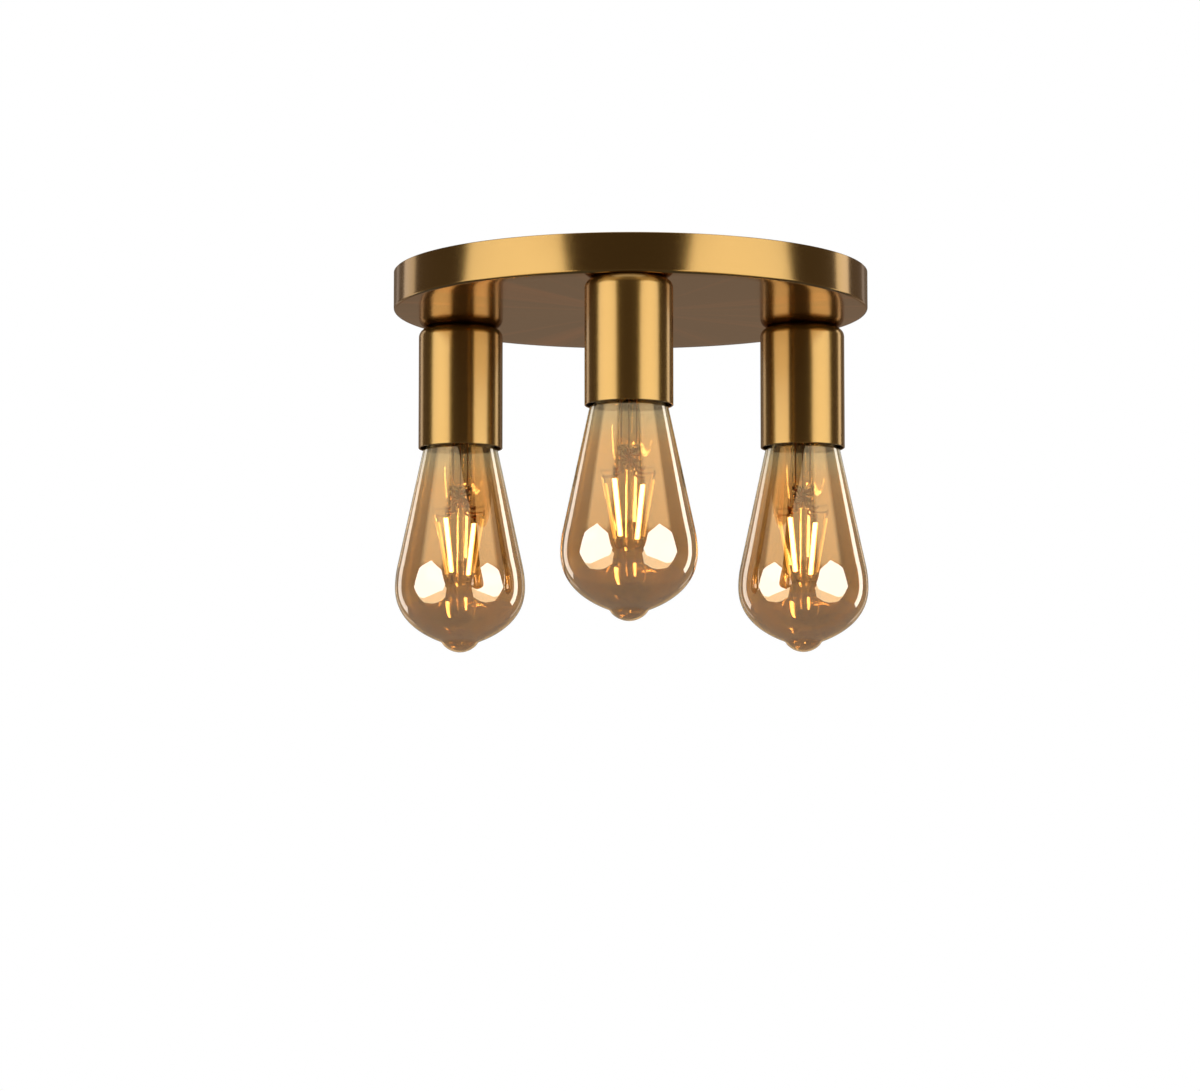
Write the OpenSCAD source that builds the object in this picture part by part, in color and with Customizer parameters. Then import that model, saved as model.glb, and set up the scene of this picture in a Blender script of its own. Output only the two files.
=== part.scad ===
// Three-light flush ceiling fitting with bare teardrop filament bulbs.
// The ceiling is the plane z = 0 and everything hangs below it.

/* [Ceiling plate] */
// Outside diameter of the ceiling plate
plate_d = 230; // [200:1:300]
// Height of the plate, from the ceiling to its underside
plate_h = 19; // [18.5:0.5:30]
// Sheet thickness of the plate
plate_wall = 1; // [0.8:0.1:1.5]
// Inside bend radius between the plate's underside and its rim
plate_bend_r = 0.5; // [0.3:0.1:2]

/* [Cups] */
// Distance from the plate's rim to each lampholder's axis
cup_inset = 17.5; // [16:0.5:24]
// Outside diameter of a cup
cup_d = 41.5; // [41:0.1:46]
// Height of a cup below the plate
cup_h = 60; // [56:0.5:64]
// Sheet thickness of a cup
cup_wall = 0.8; // [0.5:0.1:1]
// Inside bend radius at the closed end of a cup
cup_bend_r = 4; // [2:0.5:4.5]

/* [Threaded tube and its nuts] */
// Outside diameter of the hollow threaded tube
tube_d = 9.9; // [9:0.1:10.5]
// Bore of the hollow threaded tube
tube_bore = 7.4; // [7:0.1:7.8]
// Length of the tube's thread inside the lampholder
tube_grip = 8; // [6:0.5:9]
// Length of bare thread above the nut
tube_spare = 1.2; // [0.5:0.1:2]
// Width across the flats of the tube's nut
nut_af = 14; // [13:0.5:17]
// Thickness of the tube's nut
nut_t = 3; // [2:0.5:4]
// Diameter of the lock washer
washer_d = 18; // [16:0.5:22]
// Thickness of the lock washer
washer_t = 0.8; // [0.5:0.1:1.2]
// Radial play of a threaded tube in the holes it passes through
tube_play = 0.2; // [0.1:0.05:0.4]

/* [Lampholder] */
// Depth of the bulb's end contact below the plate
contact_depth = 21; // [20.5:0.5:24]
// Outside diameter of the porcelain
porcelain_d = 37; // [36.8:0.1:37.6]
// Depth of the joint between the porcelain cap and barrel
porcelain_joint = 13.5; // [13:0.1:14.2]
// Thickness of the porcelain cap's dome
dome_t = 3; // [2:0.1:3.5]
// Length of the lampholder below the bulb's end contact
barrel_reach = 24.5; // [23:0.5:26]
// Inside diameter of the brass screw shell
shell_bore = 27; // [26.9:0.05:27.3]
// Thickness of the brass screw shell
shell_t = 0.4; // [0.3:0.05:0.5]
// Distance from the end contact back to the contact block's face
block_back = 1; // [0.9:0.1:1.4]
// Radial play between the screw shell and the porcelain
shell_play = 0.2; // [0.1:0.05:0.3]
// Thickness of the brass strips that carry the current
strip_t = 0.6; // [0.4:0.1:0.8]
// Width of the brass strips that carry the current
strip_w = 5; // [3:0.5:6]
// Distance from the axis to the screw shell's terminal strip
shell_strip_x = 11.2; // [10.8:0.1:11.6]
// Distance from the axis to the spring contact's terminal strip
contact_strip_x = 7.8; // [7:0.1:8.2]
// Gap between the spring contact and the seated bulb
contact_gap = 0.3; // [0.2:0.05:0.4]
// Distance from the axis to the porcelain's long screws
long_screw_r = 16.35; // [16.25:0.05:16.45]
// Diameter of the porcelain's long screws
long_screw_d = 2.4; // [2:0.1:2.4]

/* [Bulb] */
// Largest diameter of the bulb
bulb_d = 64; // [58:0.5:66]
// Length of the bulb, from its end contact to its tip
bulb_len = 140; // [136:0.5:150]
// Distance from the bulb's tip up to its widest level
belly_up = 31.9; // [28:0.1:36]
// Radius of the curve that joins the bulb's long side to its widest level
belly_r = 50; // [40:1:70]
// Slope of the bulb's long side, in degrees from upright
side_slope = 12.2; // [11.4:0.1:13.5]
// Thickness of the glass
glass_t = 0.8; // [0.5:0.1:1.2]
// Outside diameter of the glass neck inside the metal cap
neck_d = 24.4; // [22:0.1:25]
// Radius of the rounded tip
tip_r = 11; // [9:0.5:12]
// Radius at which the tip's shoulder leaves the bulb's bottom
tip_root_r = 9.9; // [9.6:0.1:12]
// Height of the tip's shoulder above the end of the tip
tip_root_h = 5.4; // [5:0.1:7]

/* [Bulb cap] */
// Outside diameter over the cap's screw thread
cap_thread_d = 26.4; // [26.2:0.05:26.5]
// Length of the cap, from its end contact to its open edge
cap_len = 27; // [26:0.5:29]
// Sheet thickness of the cap
cap_t = 0.3; // [0.2:0.05:0.4]
// Diameter of the end contact
contact_d = 9.4; // [8:0.2:10]
// Thickness of the end contact's disc
contact_t = 1.2; // [0.8:0.1:1.6]
// Height at which the glass insulator meets the cap
insulator_h = 6.6; // [6:0.1:7.2]
// Radial gap between the insulator and the cap
insulator_gap = 0.2; // [0.1:0.05:0.3]

/* [Filament mount] */
// Diameter of the glass stem tube
stem_d = 11; // [10:0.2:12]
// Wall of the glass stem tube
stem_t = 1; // [0.7:0.1:1.3]
// Distance from the end contact to the far end of the stem's press
press_end = 69; // [66:0.5:72]
// Length of the flattened press
press_len = 8; // [6:0.5:10]
// Thickness of the flattened press
press_t = 4.4; // [3.5:0.1:5]
// Diameter of the glass rod between the filaments
rod_d = 3.4; // [2.5:0.1:4]
// Distance from the end contact to the rod's button
button_h = 105; // [102:0.5:108]
// Radius of the rod's button
button_r = 2.8; // [2.2:0.1:3.2]
// Diameter of a filament
filament_d = 1.7; // [1.2:0.1:2]
// Distance from the press's end to a filament's upper end
filament_start = 4.5; // [4:0.5:8]
// Distance from a filament's lower end to the level of the rod's button
filament_stop = 2.5; // [1:0.5:6]
// Distance from the axis to a filament's upper end
filament_top_r = 13.2; // [11:0.2:14]
// Distance from the axis to a filament's lower end
filament_foot_r = 7.4; // [6:0.2:9]
// Turn of the filament cage about the bulb's axis
cage_turn = 60; // [52:1:68]
// Diameter of the support wires
support_d = 0.6; // [0.4:0.1:0.8]

/* [Mounting bracket] */
// Width of the bracket's strap
strap_w = 25; // [22:0.5:30]
// Thickness of the bracket's strap
strap_t = 2; // [1.5:0.1:2.5]
// Distance between the centres of the two ceiling slots
slot_spacing = 90; // [84:1:110]
// Length of a ceiling slot, end to end
slot_len = 20; // [12:1:22]
// Width of a ceiling slot
slot_w = 5; // [4:0.1:6]
// Diameter of the cable hole
cable_hole_d = 12; // [8:0.5:13]
// Width of the bracket's turned-down lugs
lug_w = 16; // [14:0.5:20]
// Height of the lugs below the ceiling
lug_h = 14; // [13:0.5:15]
// Clearance between the lugs and the plate's rim
lug_gap = 0.3; // [0.2:0.05:0.4]
// Depth of the rim screws below the ceiling
rim_screw_z = 8; // [7.5:0.1:8.5]
// Diameter of the rim screws
rim_screw_d = 4; // [3:0.1:4.5]
// Length of a rim screw
rim_screw_len = 8; // [7:0.5:10]
// Side of a lug's square nut
lug_nut_w = 7; // [6.5:0.5:9]
// Thickness of a lug's square nut
lug_nut_t = 3.2; // [2.5:0.1:4]

/* [Terminal block] */
// Distance from the plate's axis to the terminal block's middle
block_x = 19; // [18:0.5:22]
// Spacing of the terminal block's poles
pole_pitch = 8; // [7.5:0.1:8.2]
// Length of a pole, along its wires
pole_len = 17; // [15:0.5:18]
// Height of the terminal block
block_h = 13; // [12:0.5:14]
// Outside diameter of a pole's brass tube
pole_tube_d = 4.6; // [4.2:0.1:5]
// Bore of a pole's brass tube
pole_tube_bore = 3.2; // [3.1:0.1:3.6]
// Diameter of the clamp screws
clamp_screw_d = 2.6; // [2:0.1:3]

/* [Wires] */
// Outside diameter of an insulated wire
wire_d = 1.9; // [1.6:0.1:2]
// Distance from a lampholder's axis to each of its two wires
wire_offset = 1.4; // [1.2:0.05:1.6]
// Outside diameter of the ferrules that gather the wires of a pole
ferrule_d = 4.4; // [4:0.1:5]
// Length of a ferrule's insulated collar
ferrule_len = 6; // [4:0.5:8]
// Length of a ferrule's pin inside its pole
ferrule_pin = 7; // [5:0.5:8]

/* [Hidden] */
HOLDERS = ["front", "left", "right"];
HOLDER_PARTS = ["cup", "porcelain_cap", "contact_block", "porcelain_barrel",
    "screw_shell", "centre_contact", "bulb_glass", "bulb_cap", "bulb_insulator",
    "bulb_end_contact", "bulb_stem", "bulb_wires", "bulb_filaments"];

round_fn = 64;
plate_r = plate_d / 2;
holder_circle = plate_r - cup_inset;
holder_angles = [-90, 150, 30];
cup_r = cup_d / 2;

tube_top = plate_wall + washer_t + nut_t + tube_spare;
hole_r = tube_d / 2 + tube_play;
thread_fit = 0.05;

shell_in = shell_bore / 2;
shell_out = shell_in + shell_t;
porcelain_r = porcelain_d / 2;
block_face = contact_depth - block_back;
block_r = shell_out + shell_play + 0.5;
barrel_end = contact_depth + barrel_reach;
strip_play = 0.4;
foot_depth = porcelain_joint - 2;
foot_gap = 0.5;

cap_r = cap_thread_d / 2;
cap_foot_r = cap_r - 1.1;
cap_skirt_r = cap_r - 0.25;
neck_r = neck_d / 2;
bulb_r = bulb_d / 2;
widest = bulb_len - belly_up;
stem_r = stem_d / 2;

lug_face = sqrt(pow(plate_r - plate_wall, 2) - pow(lug_w / 2, 2)) - lug_gap;
block_top = strap_t;
pole_z = -(block_top + block_h - 5);
ferrule_end = block_x + pole_len / 2 + ferrule_len;
earth_x = -(cable_hole_d / 2 + slot_spacing / 2 - slot_len / 2) / 2;

// Small vector helpers
function unit(v) = v / norm(v);
function lerp(a, b, t) = a * (1 - t) + b * t;

// A point on a Bezier curve with any number of control points
function bezier(p, t) = len(p) == 1 ? p[0]
    : bezier([for (i = [0 : len(p) - 2]) lerp(p[i], p[i + 1], t)], t);

// Points along a Bezier curve, without its first point
function curve(p, n) = [for (i = [1 : n]) bezier(p, i / n)];

// Points along an arc in a profile, without its first point
function arc(c, r, a0, a1, n) =
    [for (i = [1 : n]) c + r * [cos(a0 + (a1 - a0) * i / n), sin(a0 + (a1 - a0) * i / n)]];

// Moves a profile's points sideways by a wall thickness
function inset_path(p, t) = [for (i = [0 : len(p) - 1])
    let (a = i == 0 ? p[0] : p[i - 1],
         b = i == len(p) - 1 ? [-p[i - 1][0], p[i - 1][1]] : p[i + 1],
         d = unit(b - a))
    [max(p[i][0] - t * d[1], 0), p[i][1] + t * d[0]]];

function backwards(p) = [for (i = [len(p) - 1 : -1 : 0]) p[i]];

// Frames carried along a path without twisting, one [normal, binormal] each
function path_dir(p, i) =
    unit(p[min(i + 1, len(p) - 1)] - p[max(i - 1, 0)]);
function frames(p, i = 0, n = undef) =
    let (d = path_dir(p, i),
         guess = n == undef ? (abs(d[2]) > 0.9 ? [1, 0, 0] : [0, 0, 1]) : n,
         m = unit(guess - (guess * d) * d))
    i == len(p) - 1 ? [[m, cross(d, m)]]
        : concat([[m, cross(d, m)]], frames(p, i + 1, m));

// A closed tube of the given radius swept along a path
module swept(path, r, sides = 8) {
    f = frames(path);
    last = len(path) - 1;
    points = [for (i = [0 : last], k = [0 : sides - 1])
        path[i] + r * (cos(360 * k / sides) * f[i][0] + sin(360 * k / sides) * f[i][1])];
    walls = [for (i = [0 : last - 1], k = [0 : sides - 1])
        let (n = (k + 1) % sides, a = i * sides, b = a + sides)
        each [[a + k, b + k, b + n], [a + k, b + n, a + n]]];
    ends = [for (k = [1 : sides - 2])
        each [[0, k, k + 1],
              [last * sides, last * sides + k + 1, last * sides + k]]];
    polyhedron(points, concat(walls, ends), convexity = 6);
}

module ring(outer, inner, h) difference() {
    cylinder(r = outer, h = h, $fn = round_fn);
    translate([0, 0, -1]) cylinder(r = inner, h = h + 2, $fn = round_fn);
}

// Places a piece on a lampholder's axis, with z as the depth below the plate
module on_axis(h) {
    a = holder_angles[h];
    translate([holder_circle * cos(a), holder_circle * sin(a), -plate_h])
        mirror([0, 0, 1]) children();
}

// The same, turned so that x runs along the circle of lampholders
module on_holder(h) {
    a = holder_angles[h];
    translate([holder_circle * cos(a), holder_circle * sin(a), -plate_h])
        rotate([0, 0, a + 90]) mirror([0, 0, 1]) children();
}

// A piece of a bulb, with z counted from the bulb's end contact
module on_bulb(h) on_axis(h) translate([0, 0, contact_depth]) children();

// Spun steel pan, open towards the ceiling
module ceiling_plate() {
    bend_out = plate_bend_r + plate_wall;
    outer = concat([[0, -plate_h], [plate_r - bend_out, -plate_h]],
        arc([plate_r - bend_out, bend_out - plate_h], bend_out, -90, 0, 6),
        [[plate_r, 0]]);
    inner = concat([[plate_r - plate_wall, 0]],
        [[plate_r - plate_wall, bend_out - plate_h]],
        arc([plate_r - bend_out, bend_out - plate_h], plate_bend_r, 0, -90, 4),
        [[0, plate_wall - plate_h]]);
    color("#a8823c") difference() {
        rotate_extrude($fn = 180) polygon(concat(outer, inner));
        for (a = holder_angles) rotate([0, 0, a]) translate([holder_circle, 0, -plate_h - 1])
            cylinder(r = hole_r, h = plate_wall + 2, $fn = round_fn);
        for (side = [0, 180]) rotate([0, 0, side])
            translate([plate_r - plate_wall - 2, 0, -rim_screw_z]) rotate([0, 90, 0])
                cylinder(d = rim_screw_d + 0.4, h = plate_wall + 4, $fn = round_fn);
    }
}

// Flat outline of the strap: wide in the middle, narrow at the lugs
module strap_outline() {
    shoulder = lug_face - 14;
    polygon([[-lug_face, -lug_w / 2], [-shoulder, -strap_w / 2],
             [shoulder, -strap_w / 2], [lug_face, -lug_w / 2],
             [lug_face, lug_w / 2], [shoulder, strap_w / 2],
             [-shoulder, strap_w / 2], [-lug_face, lug_w / 2]]);
}

module slot_cut() {
    half = (slot_len - slot_w) / 2;
    translate([0, 0, -strap_t - 1]) {
        for (x = [-half, half]) translate([x, 0, 0])
            cylinder(d = slot_w, h = strap_t + 2, $fn = round_fn);
        translate([-half, -slot_w / 2, 0]) cube([2 * half, slot_w, strap_t + 2]);
    }
}

// Pressed steel strap that is screwed to the ceiling and carries the plate
module mounting_bracket() color("#b9b9b4") difference() {
    union() {
        translate([0, 0, -strap_t]) linear_extrude(strap_t) strap_outline();
        for (side = [0, 180]) rotate([0, 0, side])
            translate([lug_face - strap_t, -lug_w / 2, -lug_h])
                cube([strap_t, lug_w, lug_h - strap_t / 2]);
    }
    for (x = [-1, 1]) translate([x * slot_spacing / 2, 0, 0]) slot_cut();
    translate([0, 0, -strap_t - 1]) cylinder(d = cable_hole_d, h = strap_t + 2, $fn = round_fn);
    for (y = [-1, 1]) translate([block_x, y * pole_pitch / 2, -strap_t - 1])
        cylinder(d = 2.6, h = strap_t + 2, $fn = round_fn);
    translate([earth_x, 0, -strap_t - 1]) cylinder(d = 4, h = strap_t + 2, $fn = round_fn);
    for (side = [0, 180]) rotate([0, 0, side])
        translate([lug_face - strap_t - 1, 0, -rim_screw_z]) rotate([0, 90, 0])
            cylinder(d = rim_screw_d + 0.1, h = strap_t + 2, $fn = round_fn);
}

// Square nuts fixed behind the lugs
module lug_nuts() color("#c9c4b4") for (side = [0, 180]) rotate([0, 0, side])
    translate([lug_face - strap_t - lug_nut_t, 0, -rim_screw_z]) rotate([0, 90, 0])
        difference() {
            translate([-lug_nut_w / 2, -lug_nut_w / 2, 0])
                cube([lug_nut_w, lug_nut_w, lug_nut_t]);
            translate([0, 0, -1])
                cylinder(d = rim_screw_d + 0.1, h = lug_nut_t + 2, $fn = round_fn);
        }

// Socket-head grub screws that hold the plate to the lugs, flush with the rim
module rim_screws() color("#a8823c") for (side = [0, 180]) rotate([0, 0, side])
    translate([plate_r - 0.2, 0, -rim_screw_z]) rotate([0, -90, 0]) difference() {
        cylinder(d = rim_screw_d, h = rim_screw_len, $fn = round_fn);
        translate([0, 0, -1]) cylinder(d = rim_screw_d / 2, h = 3, $fn = 6);
    }

// Hollow threaded tubes that clamp cup and lampholder to the plate
module threaded_tubes() color("#c2a25a") for (h = [0 : 2]) on_holder(h)
    translate([0, 0, -tube_top])
        ring(tube_d / 2, tube_bore / 2, tube_top + cup_wall + tube_grip);

module tube_nuts() color("#c2a25a") for (h = [0 : 2]) on_holder(h)
    translate([0, 0, -(plate_wall + washer_t + nut_t)]) difference() {
        cylinder(d = nut_af / cos(30), h = nut_t, $fn = 6);
        translate([0, 0, -1])
            cylinder(r = tube_d / 2 + thread_fit, h = nut_t + 2, $fn = round_fn);
    }

module lock_washers() color("#b9b9b4") for (h = [0 : 2]) on_holder(h)
    translate([0, 0, -(plate_wall + washer_t)])
        ring(washer_d / 2, tube_d / 2 + thread_fit, washer_t);

// Drawn cup with a rounded closed end, open downwards
module cup() {
    bend_out = cup_bend_r + cup_wall;
    outer = concat([[hole_r, 0], [cup_r - bend_out, 0]],
        arc([cup_r - bend_out, bend_out], bend_out, -90, 0, 10), [[cup_r, cup_h]]);
    inner = concat([[cup_r - cup_wall, cup_h], [cup_r - cup_wall, bend_out]],
        arc([cup_r - bend_out, bend_out], cup_bend_r, 0, -90, 8), [[hole_r, cup_wall]]);
    color("#a8823c") rotate_extrude($fn = 128) polygon(concat(outer, inner));
}

module long_screw_places() for (x = [-1, 1]) translate([0, x * long_screw_r, 0]) children();

// Porcelain dome that the threaded tube screws into
module porcelain_cap() {
    top = cup_wall;
    boss_r = tube_d / 2 + dome_t;
    dome_h = 8;
    roof = top + dome_t + 1.5;
    cavity_r = shell_out - 0.2;
    outer = concat([[tube_d / 2 + thread_fit, top], [boss_r + 1.5, top]],
        curve([[boss_r + 1.5, top], [porcelain_r - 2, top + 0.5],
               [porcelain_r, top + dome_h - 4], [porcelain_r, top + dome_h]], 8),
        [[porcelain_r, porcelain_joint]]);
    inner = [[cavity_r, porcelain_joint], [cavity_r, roof + 1.5], [cavity_r - 1.5, roof],
             [boss_r, roof], [boss_r, top + tube_grip],
             [tube_d / 2 + thread_fit, top + tube_grip]];
    color("#efece4") difference() {
        rotate_extrude($fn = 96) polygon(concat(outer, inner));
        long_screw_places() translate([0, 0, porcelain_joint - 5])
            cylinder(d = long_screw_d + 0.1, h = 6, $fn = round_fn);
    }
}

// Porcelain barrel round the screw shell, with a shelf for the contact block
module porcelain_barrel() {
    wall_in = shell_out + shell_play;
    lip = shell_in + 0.1;
    outline = [[block_r + 0.2, porcelain_joint], [porcelain_r, porcelain_joint],
               [porcelain_r, barrel_end - 2], [porcelain_r - 1, barrel_end],
               [lip + 0.6, barrel_end], [lip, barrel_end - 0.6],
               [lip, barrel_end - 2], [wall_in, barrel_end - 2],
               [wall_in, block_face], [block_r + 0.2, block_face]];
    color("#efece4") difference() {
        rotate_extrude($fn = 96) polygon(outline);
        long_screw_places() translate([0, 0, porcelain_joint - 1]) {
            cylinder(d = long_screw_d + 0.3, h = barrel_end, $fn = round_fn);
            translate([0, 0, barrel_end - porcelain_joint - 2])
                cylinder(d = long_screw_d * 1.6, h = 5, $fn = round_fn);
        }
    }
}

// Screws that hold the two halves of each lampholder together
module long_screws() color("#c9c4b4") for (h = [0 : 2]) on_holder(h)
    long_screw_places() difference() {
        union() {
            translate([0, 0, porcelain_joint - 4.5])
                cylinder(d = long_screw_d, h = barrel_end - porcelain_joint + 4, $fn = round_fn);
            translate([0, 0, barrel_end - 3 + 0.1])
                cylinder(d = long_screw_d * 1.5, h = 1.6, $fn = round_fn);
        }
        translate([-long_screw_d, -0.3, barrel_end - 2])
            cube([2 * long_screw_d, 0.6, 2]);
    }

// Porcelain disc that carries both contacts and keeps them apart
module contact_block() color("#e2ddd0") difference() {
    translate([0, 0, porcelain_joint])
        cylinder(r = block_r, h = block_face - porcelain_joint, $fn = round_fn);
    for (x = [-shell_strip_x, contact_strip_x])
        translate([x - (strip_t + strip_play) / 2, -(strip_w + strip_play) / 2,
                   porcelain_joint - 1])
            cube([strip_t + strip_play, strip_w + strip_play, 12]);
}

// Brass sleeve for the bulb's thread, with its flange and its terminal strip
module screw_shell() {
    flange_r = 10;
    start = block_face;
    length = barrel_end - 2.2 - start;
    color("#c8a850") {
        difference() {
            translate([0, 0, start]) cylinder(r = shell_out, h = length, $fn = round_fn);
            translate([0, 0, start + shell_t])
                cylinder(r = shell_in, h = length, $fn = round_fn);
            translate([0, 0, start - 1]) cylinder(r = flange_r, h = 3, $fn = round_fn);
        }
        strip(-shell_strip_x, start + shell_t / 2);
    }
}

// Strip through the block's slot, with a foot turned in under its wire
module strip(x, low) {
    translate([x - strip_t / 2, -strip_w / 2, foot_depth])
        cube([strip_t, strip_w, low - foot_depth]);
    translate([x > 0 ? foot_gap : x, -strip_w / 2, foot_depth])
        cube([abs(x) - foot_gap, strip_w, strip_t]);
}

// Spring strip that touches the bulb's end contact
module centre_contact() {
    low = contact_depth - contact_gap;
    reach = 2.5;
    color("#c8a850") {
        translate([-reach, -strip_w / 2, low - strip_t])
            cube([contact_strip_x + reach + strip_t / 2, strip_w, strip_t]);
        strip(contact_strip_x, low);
    }
}

// Outline of the bulb's glass, from the neck down to the tip
cone_r = bulb_r - belly_r * (1 - cos(side_slope));
cone_end = widest - belly_r * sin(side_slope);
cone_start = cap_len + 10;
cone_start_r = cone_r - (cone_end - cone_start) * tan(side_slope);
side_dir = [sin(side_slope), cos(side_slope)];
root = [tip_root_r, bulb_len - tip_root_h];
root_dir = [-cos(21), sin(21)];
tip_turn = 45;
tip_edge = [tip_r * sin(tip_turn), bulb_len - tip_r * (1 - cos(tip_turn))];
tip_dir = [-cos(tip_turn), sin(tip_turn)];
glass_outline = concat(
    [[neck_r, cap_len - 9], [neck_r, cap_len - 0.5]],
    curve([[neck_r, cap_len - 0.5], [neck_r, cap_len + 4],
           [cone_start_r, cone_start] - 4 * side_dir, [cone_start_r, cone_start]], 7),
    [[cone_r, cone_end]],
    arc([bulb_r - belly_r, widest], belly_r, -side_slope, 0, 5),
    curve([[bulb_r, widest], [bulb_r, widest + 13.7], root - 13 * root_dir, root], 14),
    curve([root, root + 1.4 * root_dir, tip_edge - 1.4 * tip_dir, tip_edge], 5),
    arc([0, bulb_len - tip_r], tip_r, 90 - tip_turn, 90, 6));

module bulb_glass() color([0.80, 0.55, 0.22, 0.45])
    rotate_extrude($fn = 128)
        polygon(concat(glass_outline, backwards(inset_path(glass_outline, glass_t))));

// Rolled metal cap of the bulb
module bulb_cap() {
    inner_low = insulator_h + 0.3;
    color("#cfcabc") rotate_extrude($fn = 96) polygon([
        [cap_foot_r, insulator_h], [cap_r, insulator_h + 1.6], [cap_r, cap_len - 4],
        [cap_skirt_r, cap_len - 3], [cap_skirt_r, cap_len],
        [cap_skirt_r - cap_t, cap_len], [cap_skirt_r - cap_t, cap_len - 3 - cap_t],
        [cap_r - cap_t, cap_len - 4 - cap_t], [cap_r - cap_t, insulator_h + 1.6 + cap_t],
        [cap_foot_r - cap_t, inner_low + cap_t], [cap_foot_r - cap_t, insulator_h]]);
}

// Black glass between the cap and the end contact
module bulb_insulator() {
    edge = cap_foot_r - cap_t - insulator_gap;
    low = contact_t + 0.1;
    color("#1c1c1e") rotate_extrude($fn = 96) polygon([
        [1.7, low], [contact_d / 2, low], [contact_d / 2 + 0.8, low + 0.6],
        [edge, insulator_h - 0.2], [edge, insulator_h + 1.2], [edge - 2, insulator_h + 1.2],
        [contact_d / 2 - 0.5, low + 3], [1.7, low + 3]]);
}

// Tinned end contact with its stalk through the insulator
module bulb_end_contact() color("#b8b8b8") rotate_extrude($fn = 96) polygon(concat(
    [[0, 0], [contact_d / 2 - 1, 0]],
    arc([contact_d / 2 - 1, 1], 1, -90, 0, 5),
    [[contact_d / 2, contact_t], [1.5, contact_t], [1.5, contact_t + 3.4],
     [0, contact_t + 3.4]]));

// Places of the two lead wires and the middle wire through the stem and its press
lead_places = [-3.6, 0, 3.6];
lead_r = support_d / 2;

// Glass stem: flare sealed in the neck, tube, flattened press, rod and button
module bulb_stem() {
    flare_top = cap_len - 8;
    press_start = press_end - press_len;
    neck_in = neck_r - glass_t - 0.1;
    flare = concat([[neck_in, flare_top], [neck_in, flare_top + stem_t]],
        curve([[neck_in, flare_top + stem_t], [stem_r + 2, flare_top + stem_t + 1],
               [stem_r, flare_top + 6], [stem_r, flare_top + 12]], 8),
        [[stem_r, press_start + 1], [0, press_start + 1], [0, press_start],
         [stem_r - stem_t, press_start - 2], [stem_r - stem_t, flare_top + 12]],
        curve([[stem_r - stem_t, flare_top + 12], [stem_r - stem_t, flare_top + 6],
               [stem_r + 1, flare_top], [neck_in, flare_top]], 8));
    color([0.92, 0.90, 0.80, 0.5]) {
        difference() {
            union() {
                rotate_extrude($fn = 64) polygon(flare);
                translate([-stem_r, -press_t / 2, press_start])
                    cube([2 * stem_r, press_t, press_len]);
            }
            for (x = lead_places) translate([x, 0, press_start - 5])
                cylinder(r = lead_r + 0.1, h = press_len + 10, $fn = 16);
        }
        translate([0, 0, press_end - 0.5])
            cylinder(d = rod_d, h = button_h - press_end + 0.5, $fn = 32);
        translate([0, 0, button_h]) sphere(r = button_r, $fn = 32);
    }
}

filament_angles = [for (k = [0 : 3]) cage_turn + 90 * k];
filament_head = press_end + filament_start;
filament_foot = button_h - filament_stop;
filament_lean = atan((filament_top_r - filament_foot_r) / (filament_foot - filament_head));
function polar(r, a, z) = [r * cos(a), r * sin(a), z];

// Leads, middle wire, whiskers and the spiders that hold the filaments
module bulb_wires() color("#8c7a58") {
    reach = 0.3;
    for (x = lead_places)
        swept([[x, 0, insulator_h + 4], [x, 0, cap_len + 3],
               [x, 0, press_end + (x == 0 ? -0.8 : 1.2)]], lead_r, 6);
    for (a = filament_angles) {
        hook = filament_head - reach;
        sx = sign(cos(a));
        sy = sign(sin(a));
        swept([[sx * 3.2, sy * (press_t / 2 - 0.6), press_end + 0.5],
               polar(4.6, a, press_end + 1.4), polar(7, a, press_end + 1.8),
               polar(filament_top_r + 0.8, a, press_end + 1.6),
               polar(filament_top_r + 0.6, a, hook - 1.4),
               polar(filament_top_r + reach * tan(filament_lean), a, hook)], lead_r, 6);
        swept([polar(button_r + 0.05, a, button_h),
               polar((button_r + filament_foot_r) / 2, a, button_h + 0.8),
               polar(filament_foot_r - 0.1, a, button_h),
               polar(filament_foot_r, a, filament_foot + reach)], lead_r, 6);
        swept([[sx * 3.2, sy * (press_t / 2 + 0.4), press_end - 2],
               [sx * 4.4, sy * (press_t / 2 + 0.9), press_end - 5],
               [sx * 6.4, sy * (press_t / 2 + 1.6), press_end - 9]], lead_r * 0.8, 6);
    }
}

// Straight light-emitting filaments, leaning in towards the tip
module bulb_filaments() color("#f2c45a") for (a = filament_angles) {
    top = polar(filament_top_r, a, filament_head);
    foot = polar(filament_foot_r, a, filament_foot);
    translate(top) rotate([0, 0, a]) rotate([0, -filament_lean, 0])
        cylinder(d = filament_d, h = norm(foot - top), $fn = 24);
}

// Moulded strip of three poles under the strap
module terminal_block() color("#f0eee6") difference() {
    union() {
        translate([block_x - pole_len / 2, -1.5 * pole_pitch, -block_top - block_h / 2])
            cube([pole_len, 3 * pole_pitch, block_h / 2]);
        for (k = [-1 : 1]) translate([block_x - pole_len / 2,
                k * pole_pitch - pole_pitch / 2 + 0.5, -block_top - block_h])
            cube([pole_len, pole_pitch - 1, block_h]);
    }
    for (k = [-1 : 1]) {
        translate([block_x - pole_len / 2 - 1, k * pole_pitch, pole_z]) rotate([0, 90, 0])
            cylinder(d = pole_tube_d + 0.1, h = pole_len + 2, $fn = 32);
        clamp_places(k) translate([0, 0, -4])
            cylinder(d = clamp_screw_d + 1.6, h = 5, $fn = 32);
    }
    for (y = [-1, 1]) translate([block_x, y * pole_pitch / 2, -block_top - block_h - 1])
        cylinder(d = 2.6, h = block_h + 2, $fn = 32);
}

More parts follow.
